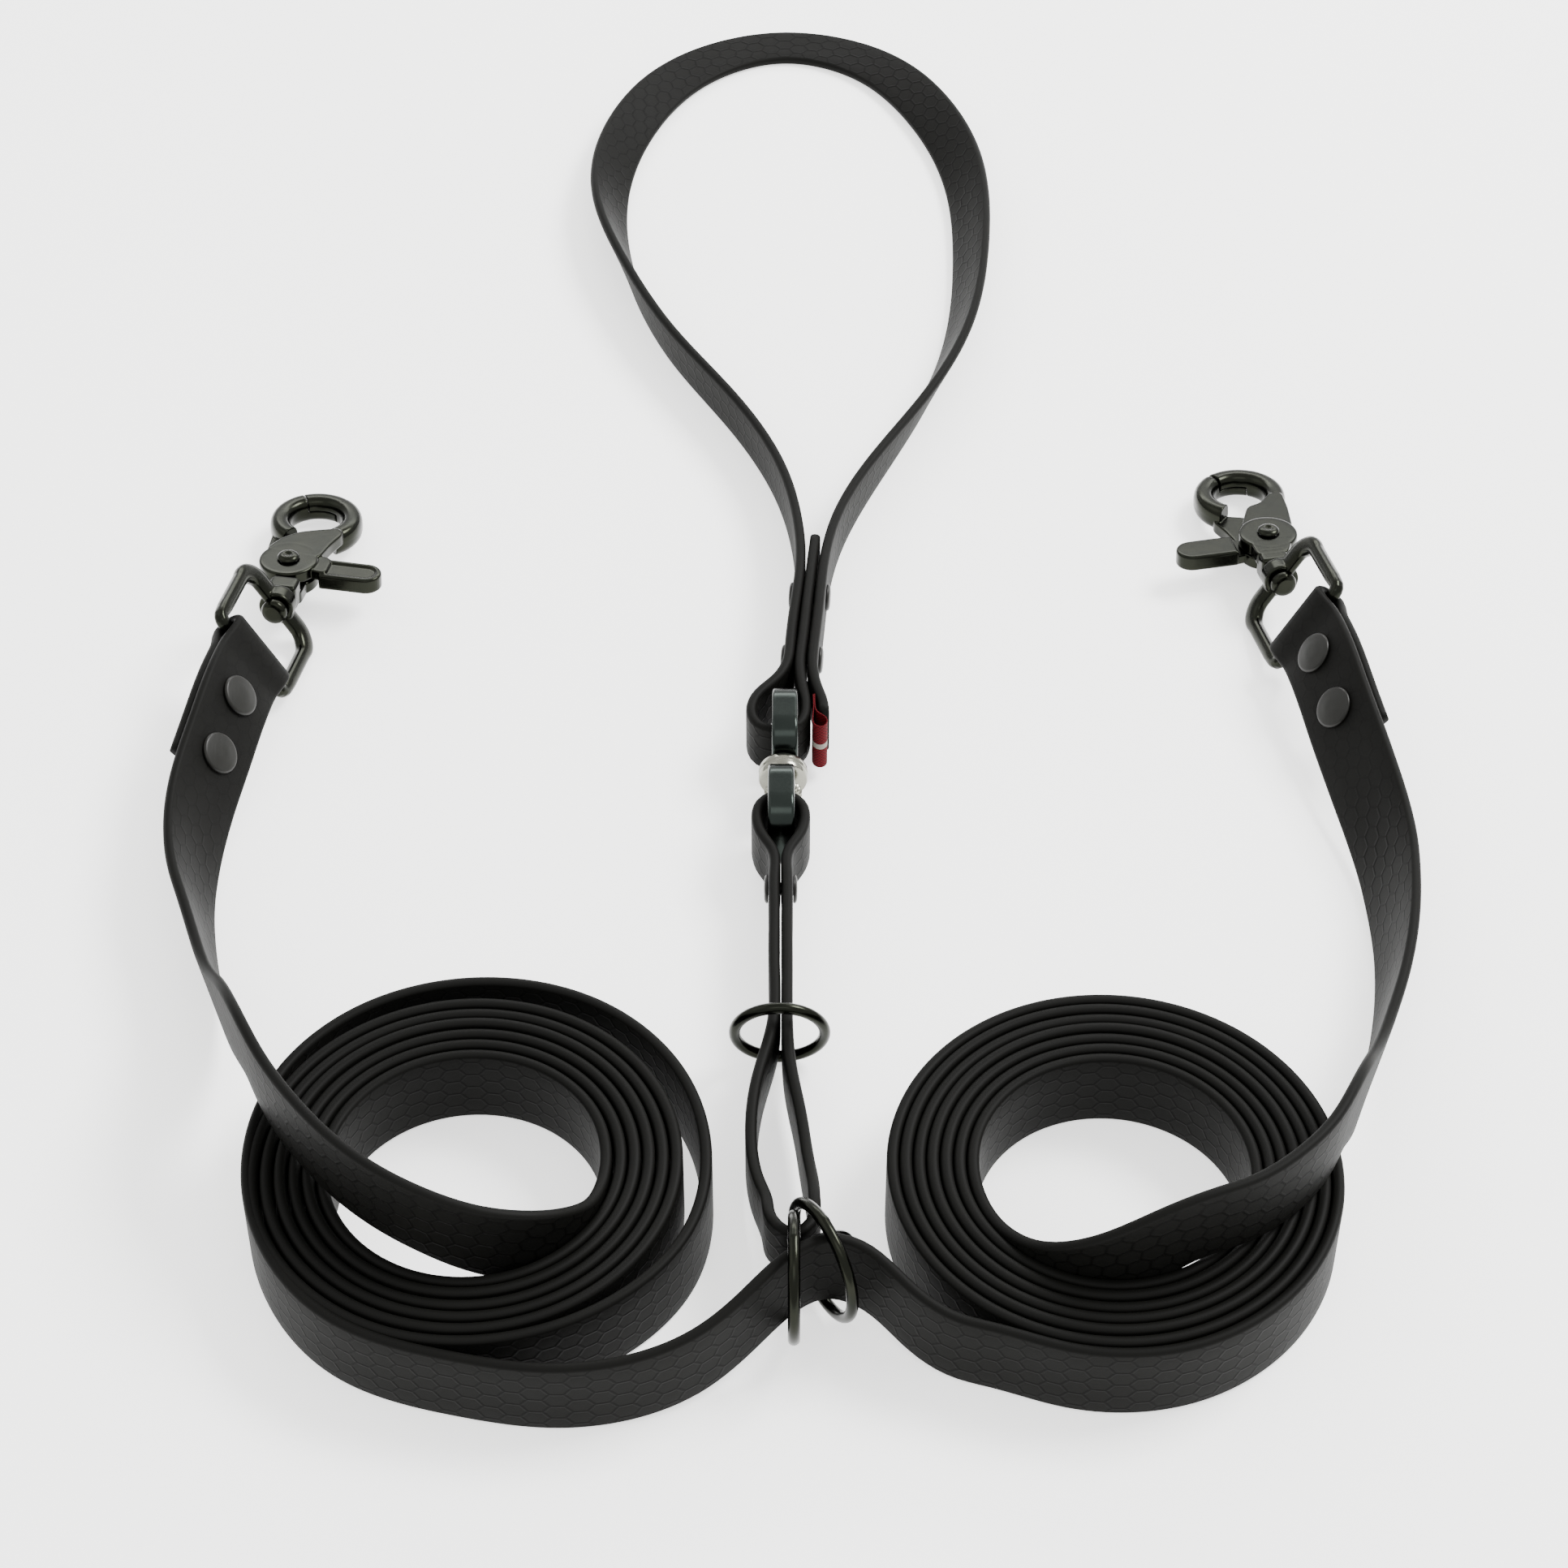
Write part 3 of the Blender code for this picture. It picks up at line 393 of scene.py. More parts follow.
def newObject(name, shape, material, body, nodes, smooth=40.0):
    # shape is in the frame's metres; the piece rides on its body and stands for the CAD nodes named
    points, faces = shape
    mesh = bpy.data.meshes.new(name)
    mesh.from_pydata(np.asarray(points, float).tolist(), [], faces)
    mesh.validate()
    mesh.materials.append(finish[material])
    mesh.polygons.foreach_set("use_smooth", np.ones(len(mesh.polygons), bool))
    if smooth < 180:
        mesh.set_sharp_from_angle(angle=math.radians(smooth))
    piece = bpy.data.objects.new(name, mesh)
    bpy.context.scene.collection.objects.link(piece)
    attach(piece, body)
    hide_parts(*nodes)
    return piece


def toRow(points):
    # layout millimetres turned to the frame's metres
    return (np.asarray(points, float) - layoutCentre) / 1000


def boxCentre(node):
    low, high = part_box(node)
    return (np.array(low) + np.array(high)) / 2


def frameBody(node):
    # the body that a CAD node belongs to
    return next(body for body, nodes in frame["record"]["behaviour"]["bodies"].items() if node in nodes)


def cast(shape, voxel, rounds):
    # closed shapes that overlap, fused on a grid of voxels and relaxed, as a casting's edges and fillets are
    mesh = bpy.data.meshes.new("raw")
    mesh.from_pydata(shape[0].tolist(), [], shape[1])
    raw = bpy.data.objects.new("raw", mesh)
    bpy.context.scene.collection.objects.link(raw)
    fuse = raw.modifiers.new("fuse", "REMESH")
    fuse.mode, fuse.voxel_size = "VOXEL", voxel
    relax = raw.modifiers.new("relax", "SMOOTH")
    relax.factor, relax.iterations = 0.5, rounds
    bpy.context.view_layer.update()
    solved = raw.evaluated_get(bpy.context.evaluated_depsgraph_get())
    done = solved.to_mesh()
    points = np.empty(len(done.vertices) * 3)
    done.vertices.foreach_get("co", points)
    faces = [tuple(face.vertices) for face in done.polygons]
    solved.to_mesh_clear()
    bpy.data.objects.remove(raw)
    bpy.data.meshes.remove(mesh)
    return points.reshape(-1, 3), faces


# ---- routes of the straps


def naturalSpline(points, spacing, closed=False):
    # natural cubic spline through given points (x, y, z, lean), its parameter the chord length,
    # sampled again at even steps
    points = np.array(points, float)
    wrap = 4 if closed else 0
    if closed:
        points = np.concatenate([points[-wrap:], points, points[:wrap + 1]])
    t = running(points[:, :3])
    h = np.diff(t)
    slope = np.diff(points, axis=0) / h[:, None]
    system = np.eye(len(t))
    rows = np.arange(1, len(t) - 1)
    system[rows, rows - 1], system[rows, rows + 1] = h[:-1], h[1:]
    system[rows, rows] = 2 * (h[:-1] + h[1:])
    right = np.zeros_like(points)
    right[1:-1] = 6 * np.diff(slope, axis=0)
    bend = np.linalg.solve(system, right)

    def at(where):
        k = np.clip(np.searchsorted(t, where, "right") - 1, 0, len(h) - 1)
        u, v, w = (where - t[k])[:, None], (t[k + 1] - where)[:, None], h[k][:, None]
        return (bend[k] * v ** 3 + bend[k + 1] * u ** 3) / (6 * w) + \
            (points[k] / w - bend[k] * w / 6) * v + (points[k + 1] / w - bend[k + 1] * w / 6) * u

    start, stop = (t[wrap], t[len(t) - 1 - wrap]) if closed else (0, t[-1])
    fine = np.linspace(start, stop, int((stop - start) / 0.5) + 2)
    line = at(fine)
    run = running(line[:, :3])
    count = max(4, int(round(run[-1] / spacing)))
    even = np.linspace(0, run[-1], count + 1)[:count if closed else count + 1]
    return np.stack([np.interp(even, run, line[:, k]) for k in range(4)], -1)


def headings(points, closed=False):
    # unit vectors along a line
    ahead = np.roll(points, -1, 0) - np.roll(points, 1, 0)
    if not closed:
        ahead[0], ahead[-1] = points[1] - points[0], points[-1] - points[-2]
    return ahead / np.linalg.norm(ahead, axis=1)[:, None]


def crossways(points, leans, closed=False):
    # the strap's cross direction: upright, leaning by its angle towards the left of travel
    ahead = headings(points, closed)
    up = np.array([0, 0, 1.0]) - ahead * ahead[:, 2:3]
    up /= np.linalg.norm(up, axis=1)[:, None]
    lean = np.radians(leans)[:, None]
    return np.cos(lean) * up + np.sin(lean) * np.cross([0, 0, 1.0], ahead)


def eased(value):
    # 0 to 1 with a level start and end
    value = np.clip(value, 0, 1)
    return value * value * (3 - 2 * value)


strapEdge = {"thick": 2.4, "round": 1.05, "arc": 5}


def strapPiece(name, centres, across, width, body, nodes, closed=False, plainEnds=0.0):
    # a profile with round edges carried along the route: |across| <= width/2, |face| <= thick/2
    half, thick, soft = width / 2, strapEdge["thick"] / 2, strapEdge["round"]
    a = np.linspace(0, math.pi / 2, strapEdge["arc"])
    corner = np.stack([np.sin(a), np.cos(a)], -1) * soft
    centre = np.array([half - soft, thick - soft])
    flat = np.linspace(-(half - soft), half - soft, 5)[1:-1]
    level = np.full(len(flat), thick)
    # round the section: top face, right edge, under face, left edge
    profile = np.concatenate([np.stack([flat, level], -1), corner + centre,
                              (corner * (1, -1))[::-1] + centre * (1, -1),
                              np.stack([flat[::-1], -level], -1), corner * (-1, -1) - centre,
                              (corner * (-1, 1))[::-1] + centre * (-1, 1)])
    face = np.cross(headings(centres, closed), across)
    face /= np.linalg.norm(face, axis=1)[:, None]
    rows = centres[:, None] + across[:, None] * profile[None, :, :1] + face[:, None] * profile[None, :, 1:]
    points, faces = skin(rows, closed)
    piece = newObject(name, (toRow(points), faces), "webbing", body, nodes, 180)
    run = running(centres)
    markStrap(piece, np.tile(profile[:, 0], len(run)), np.repeat(run, len(profile)), half, soft, plainEnds)
    return piece


def markStrap(piece, side, run, half, soft, plainEnds=0.0):
    # the UV map in millimetres, and how far each point belongs to the flat faces rather than the round edges
    mesh = piece.data
    corner = np.empty(len(mesh.loops), np.int32)
    mesh.loops.foreach_get("vertex_index", corner)
    place = mesh.uv_layers.new(name="strap")
    place.data.foreach_set("uv", np.stack([side[corner], run[corner]], -1).astype(np.float32).ravel())
    share = mesh.attributes.new("faceShare", "FLOAT", "POINT")
    blend = soft * coating["edgeBlend"]
    value = np.clip((half - blend - abs(side)) / blend, 0, 1)
    if plainEnds:
        toEnd = np.minimum(run, run.max() - run)
        fade = eased((toEnd - plainEnds) / coating["fadeOver"])
        value = value * (coating["fadeTo"] + (1 - coating["fadeTo"]) * fade)
    share.data.foreach_set("value", value.astype(np.float32))


layerStep = 2.7  # from one layer's middle to the next
leftCoil = {"centre": (-62.1, -123.6), "inner": 27.2, "outer": 43.2, "from": -2.0, "turns": 5.7889}
rightCoil = {"centre": (64.4, -124.5), "inner": 27.1, "outer": 44.9, "from": -72.0, "turns": 6.7222}
reinHeight = 9.6


def circlePoints(centre, radii, angles, heights):
    # upright points of a route on circles round a centre, at angles in degrees
    return [(centre[0] + r * math.cos(b), centre[1] + r * math.sin(b), z, 0)
            for r, b, z in zip(radii, np.radians(angles), heights)]


leftTail = [
    (-58.5, -147.6, 24.8, 0), (-68.0, -145.6, 27.4, 0), (-77.4, -141.0, 28.9, 0), (-86.6, -133.6, 29.5, 0),
    (-95.2, -123.6, 29.6, 0), (-102.4, -112.4, 29.5, 1), (-107.4, -102.0, 29.2, 3),
    (-111.8, -91.0, 23.4, 5), (-115.9, -80.0, 15.6, 8), (-120.2, -67.5, 11.2, 9), (-124.6, -52.0, 10.1, 14),
    (-127.8, -38.0, 9.9, 24), (-129.0, -22.0, 10.6, 34), (-126.0, -1.6, 13.4, 38.5),
    (-123.2, 13.4, 15.4, 37), (-120.8, 27.0, 14.0, 35.5)]
rightTail = [
    (89.5, -143.6, 29.5, 0), (98.5, -137.0, 29.5, 0), (106.0, -128.0, 29.4, -2), (110.4, -119.4, 28.6, -4),
    (114.2, -110.0, 22.6, -6), (118.0, -99.0, 15.8, -8), (122.4, -86.5, 11.6, -8),
    (126.4, -73.0, 10.2, -12), (129.6, -56.0, 10.0, -19), (130.6, -38.0, 9.8, -28),
    (129.4, -17.0, 10.6, -36), (124.9, 8.4, 13.6, -38.5), (121.9, 24.4, 15.6, -37),
    (119.6, 36.5, 14.2, -35.5)]
frontOfCoils = [
    (-62.0, -170.4, 9.6, 0), (-44.0, -173.0, 9.6, 0), (-29.0, -171.2, 9.9, 0), (-16.0, -165.5, 11.0, 0),
    (-6.0, -157.0, 13.2, 0), (1.9, -150.0, 15.35, 0), (8.35, -146.9, 15.35, 0), (15.5, -148.2, 13.8, 0),
    (24.0, -155.5, 11.5, 0), (33.0, -161.5, 9.8, 0)]


def spiral(coil, steps, inwards):
    # a flat spiral: radius grows evenly with the angle, each turn a strap's thickness out from the last;
    # the height wanders a little from turn to turn, as hand winding does
    share = (np.arange(steps) + 0.5) / steps
    radius = coil["inner"] + (coil["outer"] - coil["inner"]) * ((1 - share) if inwards else share)
    angle = coil["from"] + 360 * coil["turns"] * share
    height = reinHeight + 0.22 * (1 + np.sin(share * coil["turns"] * 3.9 + 1)) * np.sin(share * math.pi)
    return circlePoints(coil["centre"], radius, angle, height)


def reinLine():
    # left tail, coil wound outwards, loose turn, past the rings, coil wound inwards, right tail
    leftIn = circlePoints(leftCoil["centre"], [27.0, 26.9, 26.6, 26.0], [-2, -26, -46, -62],
                          [reinHeight, 11.4, 16.4, 21.4])
    loose = circlePoints(leftCoil["centre"],
                         [43.2, 44.6, 46.6, 46.8, 47.4, 48.0, 47.7, 47.0, 45.5, 43.6, 43.4, 44.6],
                         [-78, -50, -22, 2, 30, 60, 90, 120, 150, 180, 210, 238], [reinHeight] * 12)
    merge = circlePoints(rightCoil["centre"], [46.2, 45.0, 45.0, 45.0], [-122, -104, -88, -72],
                         [reinHeight] * 4)
    rightIn = circlePoints(rightCoil["centre"], [27.1, 27.1, 27.0, 26.8, 26.6, 26.7, 27.9],
                           [188, 212, 236, 256, 274, 290, 305],
                           [reinHeight, 9.9, 12.6, 17.6, 23.4, 27.6, 29.3])
    left = [(x, y, z, -lean) for x, y, z, lean in (leftIn + leftTail)[::-1]]
    return left + spiral(leftCoil, 116, False)[1:-1] + loose + frontOfCoils + merge + \
        spiral(rightCoil, 134, True)[1:-1] + rightIn + rightTail


tab = {"fold": 3.05, "length": 36.5, "spreadOver": 7.2, "settle": (75.0, 30.0)}


def foldedEnd(centres, across, up):
    # the last stretch of a strap, in travel order: its middle line is shared by two layers half a layer
    # apart, which open round the loop's bar and join in a half circle; returns the over layer, the bend and
    # the under layer, and the cross directions of the last two
    ahead = headings(centres)
    face = np.cross(ahead, across) * up
    left = running(centres[::-1])[::-1]
    spread = layerStep / 2 + (tab["fold"] - layerStep / 2) * eased(1 - left / tab["spreadOver"])
    over = centres + face * (spread * eased((tab["settle"][0] - left) / tab["settle"][1]))[:, None]
    a = np.linspace(0, math.pi, 15)[1:-1, None]
    bend = centres[-1] + tab["fold"] * (np.cos(a) * face[-1] + np.sin(a) * ahead[-1])
    back = left < tab["length"]
    under = (centres - face * spread[:, None])[back][::-1]
    return over, bend, under, across[-1:].repeat(len(bend), 0), across[back][::-1]


def makeRein():
    # one line from tab to tab; the left half is turned round, so that both halves end in a tab
    line = naturalSpline(reinLine(), 1.9)
    centres, leans = line[:, :3], line[:, 3]
    across = crossways(centres, leans)
    middle = len(centres) // 2
    over1, bend1, under1, side1, sideBack1 = foldedEnd(centres[middle:], across[middle:], -1)
    over2, bend2, under2, side2, sideBack2 = foldedEnd(centres[:middle][::-1], across[:middle][::-1], 1)
    path = np.concatenate([under2[::-1], bend2[::-1], over2[::-1], over1, bend1, under1])
    sides = np.concatenate([sideBack2[::-1], side2[::-1], across, side1, sideBack1])
    rein = strapPiece("long_rein", path, sides, 19.0, "reins",
                      ["left_rein_coil", "right_rein_coil", "rein_bridge", "left_rein_tail",
                       "right_rein_tail"],
                      plainEnds=coating["plainEnds"])


makeRein()

handleRoute = [
    (7.3, 67.0, 9.0, 0), (6.5, 58.0, 9.4, 0), (5.2, 43.0, 9.7, 0), (4.1, 30.0, 9.8, 0), (3.6, 22.5, 9.8, 0),
    (4.3, 15.0, 9.8, 0), (4.8, 9.0, 9.8, 0), (3.2, 3.6, 9.8, 0), (-1.2, 1.7, 9.8, 0), (-5.6, 3.2, 9.8, 0),
    (-7.3, 7.8, 9.8, 0), (-5.6, 13.6, 9.8, 0), (-1.6, 18.6, 9.8, 0), (0.7, 23.8, 9.8, 0),
    (1.4, 30.0, 9.8, 0), (2.5, 43.0, 9.7, 0), (3.8, 58.0, 9.4, 0), (3.2, 74.0, 8.4, 0),
    (-0.6, 95.0, 7.2, 0), (-13.0, 124.0, 6.7, 3), (-27.5, 149.0, 6.7, 7), (-39.5, 178.0, 6.9, 16),
    (-46.2, 214.0, 6.2, 42), (-39.8, 252.0, 4.4, 64), (-22.5, 280.0, 2.3, 82), (0.0, 290.0, 1.5, 88),
    (21.5, 282.0, 2.3, 82), (37.8, 259.0, 4.2, 66), (47.6, 226.0, 5.6, 50), (48.6, 190.0, 6.3, 40),
    (43.0, 150.0, 6.7, 29), (32.0, 121.0, 6.9, 17), (20.4, 97.0, 7.4, 5), (12.6, 76.0, 8.4, 0),
    (9.3, 58.0, 9.4, 0), (8.0, 43.0, 9.7, 0), (6.85, 30.0, 9.8, 0), (6.5, 22.0, 9.8, 0),
    (7.6, 15.0, 9.8, 0), (8.7, 10.5, 9.8, 0), (8.9, 7.2, 9.8, 0)]
yokeRoute = [
    (3.6, -21.2, 9.8, 0), (4.5, -25.5, 9.8, 0), (3.4, -30.6, 9.8, 0), (0.95, -35.6, 9.8, 0),
    (0.66, -42.0, 9.8, 0), (0.66, -52.0, 9.8, 0), (0.66, -67.0, 9.8, 0), (0.66, -83.0, 9.8, 0),
    (1.3, -95.0, 9.8, 0), (3.3, -108.0, 9.8, 0), (4.7, -120.0, 10.6, 0), (5.7, -129.0, 12.8, 0),
    (5.95, -135.5, 15.0, 0), (5.0, -141.0, 15.5, 0), (1.45, -143.1, 15.5, 0), (-1.25, -141.4, 15.5, 0),
    (-3.3, -134.0, 13.4, 0), (-5.2, -126.0, 11.3, 0), (-6.6, -113.0, 9.9, 0), (-5.4, -99.0, 9.8, 0),
    (-2.3, -84.0, 9.8, 0), (-2.06, -67.0, 9.8, 0), (-2.06, -52.0, 9.8, 0), (-2.06, -42.0, 9.8, 0),
    (-2.35, -35.6, 9.8, 0), (-4.8, -30.6, 9.8, 0), (-5.9, -25.5, 9.8, 0), (-5.0, -21.2, 9.8, 0),
    (-0.7, -18.6, 9.8, 0)]


def makeBands():
    line = naturalSpline(handleRoute, 1.6)
    centres, leans = line[:, :3], line[:, 3]
    handle = strapPiece("hand_loop_strap", centres, crossways(centres, leans), 13.0, "handle",
                        ["handle_strap"])
    line = naturalSpline(yokeRoute, 1.5, True)
    centres, leans = line[:, :3], line[:, 3]
    yoke = strapPiece("yoke_strap", centres, crossways(centres, leans, True), 13.0, "reins",
                      ["yoke_band"], True)


makeBands()
print("straps made")

labelTape = {"half": 6.4, "halfThick": 0.0945, "soft": 0.1, "middle": 9.8,
             "line": [(6.55, 12.3), (6.62, 8.6), (6.5, 6.4), (6.35, 4.4), (6.9, 2.5), (8.3, 1.9), (9.5, 3.1),
                      (9.2, 5.0), (8.0, 6.1), (7.2, 7.1), (6.9, 8.8), (6.85, 12.3)]}


def makeLabel():
    # a short tape bent into a drop-shaped loop and carried along Z; its two ends meet between the layers
    line = naturalSpline([(x, y, 0, 0) for x, y in labelTape["line"]], 0.35)[:, :3]
    ahead = headings(line)
    side = np.stack([-ahead[:, 1], ahead[:, 0], 0 * ahead[:, 0]], -1)
    heights = np.linspace(-labelTape["half"], labelTape["half"], 25)
    off = np.full(len(heights), labelTape["halfThick"])
    rim = np.concatenate([np.stack([heights, off], -1), np.stack([heights[::-1], -off], -1)])
    rise = np.array([0, 0, 1.0]) * (rim[None, :, :1] + labelTape["middle"])
    points, faces = skin(line[:, None] + side[:, None] * rim[None, :, 1:] + rise, False)
    label = newObject("label_tape", (toRow(points), faces), "ribbon", "handle", ["label_tab"], 60)
    run = running(line)
    markStrap(label, np.tile(rim[:, 0], len(line)), np.repeat(run, len(rim)), labelTape["half"],
              labelTape["soft"])


makeLabel()


# ---- rivets: two low domed caps with a rolled edge on a shaft

rivetCap = {"radius": 4.75, "height": 1.15, "gap": 0.32, "shaft": 1.4, "roll": 0.7}
flatCap = {"radius": 3.1, "height": 0.9, "gap": 0.05, "shaft": 1.4, "roll": 0.7}
handleTurn = (0.9963, -0.086, 0)  # the way the hand loop's layers face at its rivets


def rivet(name, node, axis, half, cap):
    # half is how far the outer layer's face lies from the middle of the folded straps
    r, top, inner = cap["radius"], half + cap["gap"] + cap["height"], half + cap["gap"]
    a = np.linspace(0, math.pi / 2, 7)
    edge = [(r - cap["roll"] + cap["roll"] * math.cos(t), inner + 0.15 + 0.62 * math.sin(t)) for t in a]
    crown = [(r - 1.0, inner + 0.84), (r - 1.3, inner + 0.86), (r * 0.5, top - 0.08), (r * 0.2, top),
             (0.02, top)]
    upper = [(cap["shaft"], inner), (r - 0.25, inner)] + edge + crown
    profile = [(x, -z) for x, z in upper[::-1]] + upper
    points, faces = moved(lathe(profile, steps=64), along(axis))
    newObject(name, (points / 1000 + boxCentre(node), faces), "cap", frameBody(node), [node], 50)


def nearestFace(node, route, up):
    # the strap's facing direction where a rivet goes through it
    centre = boxCentre(node) * 1000 + layoutCentre
    line = naturalSpline(route, 2.0)
    across = crossways(line[:, :3], line[:, 3])
    k = int(np.argmin(np.linalg.norm(line[:, :3] - centre, axis=1)))
    return np.cross(headings(line[:, :3])[k], across[k]) * up


def makeRivets():
    for side, route, up in (("left", leftTail, 1), ("right", rightTail, -1)):
        for number in (1, 2):
            node = f"{side}_tab_rivet_{number}"
            axis = nearestFace(node, route, up)
            rivet(f"{side}_tab_cap_{number}", node, axis, layerStep / 2 + 1.2, rivetCap)
    for number in (1, 2):
        rivet(f"hand_loop_cap_{number}", f"handle_rivet_{number}", handleTurn, layerStep + 1.2, flatCap)
    rivet("yoke_cap", "yoke_rivet", (1, 0, 0), layerStep / 2 + 1.3, flatCap)


makeRivets()
print("rivets made")


# ---- rings: round wire bent to a circle and welded, with the weld's slight swelling

ringWire = {"radius": 1.2, "swell": 0.1, "weld": 0.05, "large": 11.8, "small": 9.3, "sliderLean": 9.0}


def wireRing(name, node, radius, place, axis):
    # a circle of wire: the section is a circle that swells a little at the weld
    a = np.linspace(0, 2 * math.pi, 144, endpoint=False)[:, None]
    b = np.linspace(0, 2 * math.pi, 28, endpoint=False)[None]
    wire = ringWire["radius"] + ringWire["swell"] * np.exp(-((a - math.pi) / ringWire["weld"]) ** 2)
    reach = radius + wire * np.cos(b)
    rows = np.stack([reach * np.cos(a), reach * np.sin(a), wire * np.sin(b)], -1)
    points, faces = moved(skin(rows, True), along(axis))
    newObject(name, (points / 1000 + np.array(place), faces), "gunmetal", frameBody(node), [node], 180)


def makeRings():
    for name, node, size in (("left_ring_wire", "left_rein_ring", "large"),
                             ("right_ring_wire", "right_rein_ring", "large"),
                             ("link_ring_wire", "link_ring", "small")):
        joint = next(joint for joint in frame["joints"] if joint["child"] == node)
        wireRing(name, node, ringWire[size], joint["pos_m"], joint["axis"])
    lean = math.radians(ringWire["sliderLean"])
    wireRing("slider_ring_wire", "slider_ring", ringWire["small"], boxCentre("slider_ring"),
             (0, math.cos(lean), math.sin(lean)))


makeRings()
print("rings made")


# ---- double-eye swivel

eyeShape = {"outer": (9.7, 9.7, 6.6), "inner": (7.1, 7.1, 3.0), "thick": 5.8, "edge": 0.75}
swivelPin = {"x": -0.2, "z": 9.8, "wall": 2.5, "gap": 0.3, "shaft": 1.9, "bore": 2.2, "cut": 3.0,
             "holeIn": 1.25}


def evenly(points, count):
    # a closed line sampled at even steps
    ring = np.concatenate([points, points[:1]])
    run = running(ring)
    where = np.linspace(0, run[-1], count, endpoint=False)
    return np.stack([np.interp(where, run, ring[:, k]) for k in range(points.shape[1])], -1)


def bored(piece, place, axis, radius, length):
    # a round hole cut with an exact boolean
    profile = [(0.01, -length), (radius, -length), (radius, length), (0.01, length)]
    cutter = moved(lathe(profile, steps=48), along(axis), place)
    mesh = bpy.data.meshes.new("drill")
    mesh.from_pydata(toRow(cutter[0]).tolist(), [], cutter[1])
    drill = bpy.data.objects.new("drill", mesh)
    bpy.context.scene.collection.objects.link(drill)
    cut = piece.modifiers.new("bore", "BOOLEAN")
    cut.operation, cut.solver, cut.object = "DIFFERENCE", "EXACT", drill
    bpy.context.view_layer.update()
    made = bpy.data.meshes.new_from_object(piece.evaluated_get(bpy.context.evaluated_depsgraph_get()))
    piece.modifiers.clear()
    piece.data = made
    bpy.data.objects.remove(drill)


def swivelEye(name, node, holeSide):
    # a closed frame in the YZ plane; at each angle a rounded rectangle spans from the inner to the outer line
    centre = boxCentre(node) * 1000 + layoutCentre
    outer, inner = (evenly(rounded(*eyeShape[key], 10), 120) for key in ("outer", "inner"))
    wall = (eyeShape["outer"][0] - eyeShape["inner"][0]) / 2
    section = rounded(wall, eyeShape["thick"] / 2, eyeShape["edge"], 6) / (wall, 1)
    middle, reach = (outer + inner) / 2, (outer - inner) / 2
    flat = middle[:, None] + reach[:, None] * section[None, :, :1]
    rows = np.concatenate([np.broadcast_to(section[None, :, 1:], flat.shape[:2] + (1,)), flat], -1)
    points, faces = skin(rows, True)
    eye = newObject(name, (toRow(points + centre), faces), "satin", frameBody(node), [node], 60)
    end = centre[1] + holeSide * (eyeShape["outer"][0] - swivelPin["holeIn"])
    bored(eye, (swivelPin["x"], end, centre[2]), (0, 1, 0), swivelPin["bore"], swivelPin["cut"])


def makeSwivel():
    # the eyes, then the pin: its head in the lower eye, the fluted barrel between the eyes, its riveted end
    swivelEye("upper_eye", "swivel_upper_eye", -1)
    swivelEye("lower_eye", "swivel_lower_eye", 1)
    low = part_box("swivel_lower_eye")[1][1] * 1000 + layoutCentre[1]
    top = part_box("swivel_upper_eye")[0][1] * 1000 + layoutCentre[1]
    wall, gap, shaft = swivelPin["wall"], swivelPin["gap"], swivelPin["shaft"]
    head, foot, crown, middle = low - wall - gap, low + gap, top - gap, (low + top) / 2
    end = top + wall + gap
    profile = [(0.02, head - 1.6), (3.3, head - 1.6), (3.9, head - 1.35), (4.2, head - 0.95),
               (4.2, head - 0.15), (4.05, head), (shaft, head), (shaft, foot), (4.7, foot),
               (5.2, foot + 0.25), (5.4, foot + 0.7), (5.4, middle - 0.45), (5.15, middle - 0.2),
               (5.15, middle + 0.2), (5.4, middle + 0.45), (5.4, crown - 0.7), (5.2, crown - 0.25),
               (4.7, crown), (shaft, crown), (shaft, end), (2.95, end),
               (2.9, end + 0.4), (2.4, end + 0.8), (0.02, end + 0.8)]
    shape = lathe(profile, steps=144, flutes=24, fluteDepth=0.35, fluteRows=(2, 3, 4, 5))
    points, faces = moved(shape, along((0, 1, 0)), (swivelPin["x"], 0, swivelPin["z"]))
    newObject("swivel_barrel", (toRow(points), faces), "nickel", "swivel_upper", ["swivel_pin"], 35)


makeSwivel()
print("swivel made")


# ---- scissor snaps: X across, Y towards the eye, Z through the plates, from the trigger pin

snap = {"eye": (1.0, 20.2), "eyeIn": 6.1, "eyeOut": 11.0, "half": 3.1, "plate": 6.9, "top": 3.3, "hole": 1.8,
        "lap": 0.15, "lapTrim": 0.03, "neckEnd": -12.0, "studX": 1.5, "leverTip": 22.4, "leverHalf": 3.7}
loopShape = {"half": 11.75, "length": 21.8, "bar": 1.5, "arm": (1.75, 1.6), "top": 2.5, "boss": 4.1,
             "bossLength": 4.2, "bossHole": 2.3}
castGrid = {"jaws": 0.17, "loop": 0.2, "rounds": 4}
springWire = {"coil": 2.6, "radius": 0.25, "start": -1.9, "climb": 0.75}


def jaw(start, stop, low=-9.0, high=9.0, trim=0.0):
    # a fat bar bent along an arc of the eye; low and high halve it where the jaws lap
    a = np.radians(np.linspace(start, stop, 40))[:, None]
    wide, deep = (snap["eyeOut"] - snap["eyeIn"]) / 2 - trim, snap["half"] - trim
    section = superellipse(wide, deep, 2.7, 32, low, high)
    radius = (snap["eyeOut"] + snap["eyeIn"]) / 2 + section[None, :, 0]
    points = np.stack([snap["eye"][0] + radius * np.cos(a), snap["eye"][1] + radius * np.sin(a),
                       section[None, :, 1] + 0 * a], -1)
    return skin(points[:, ::-1], False)


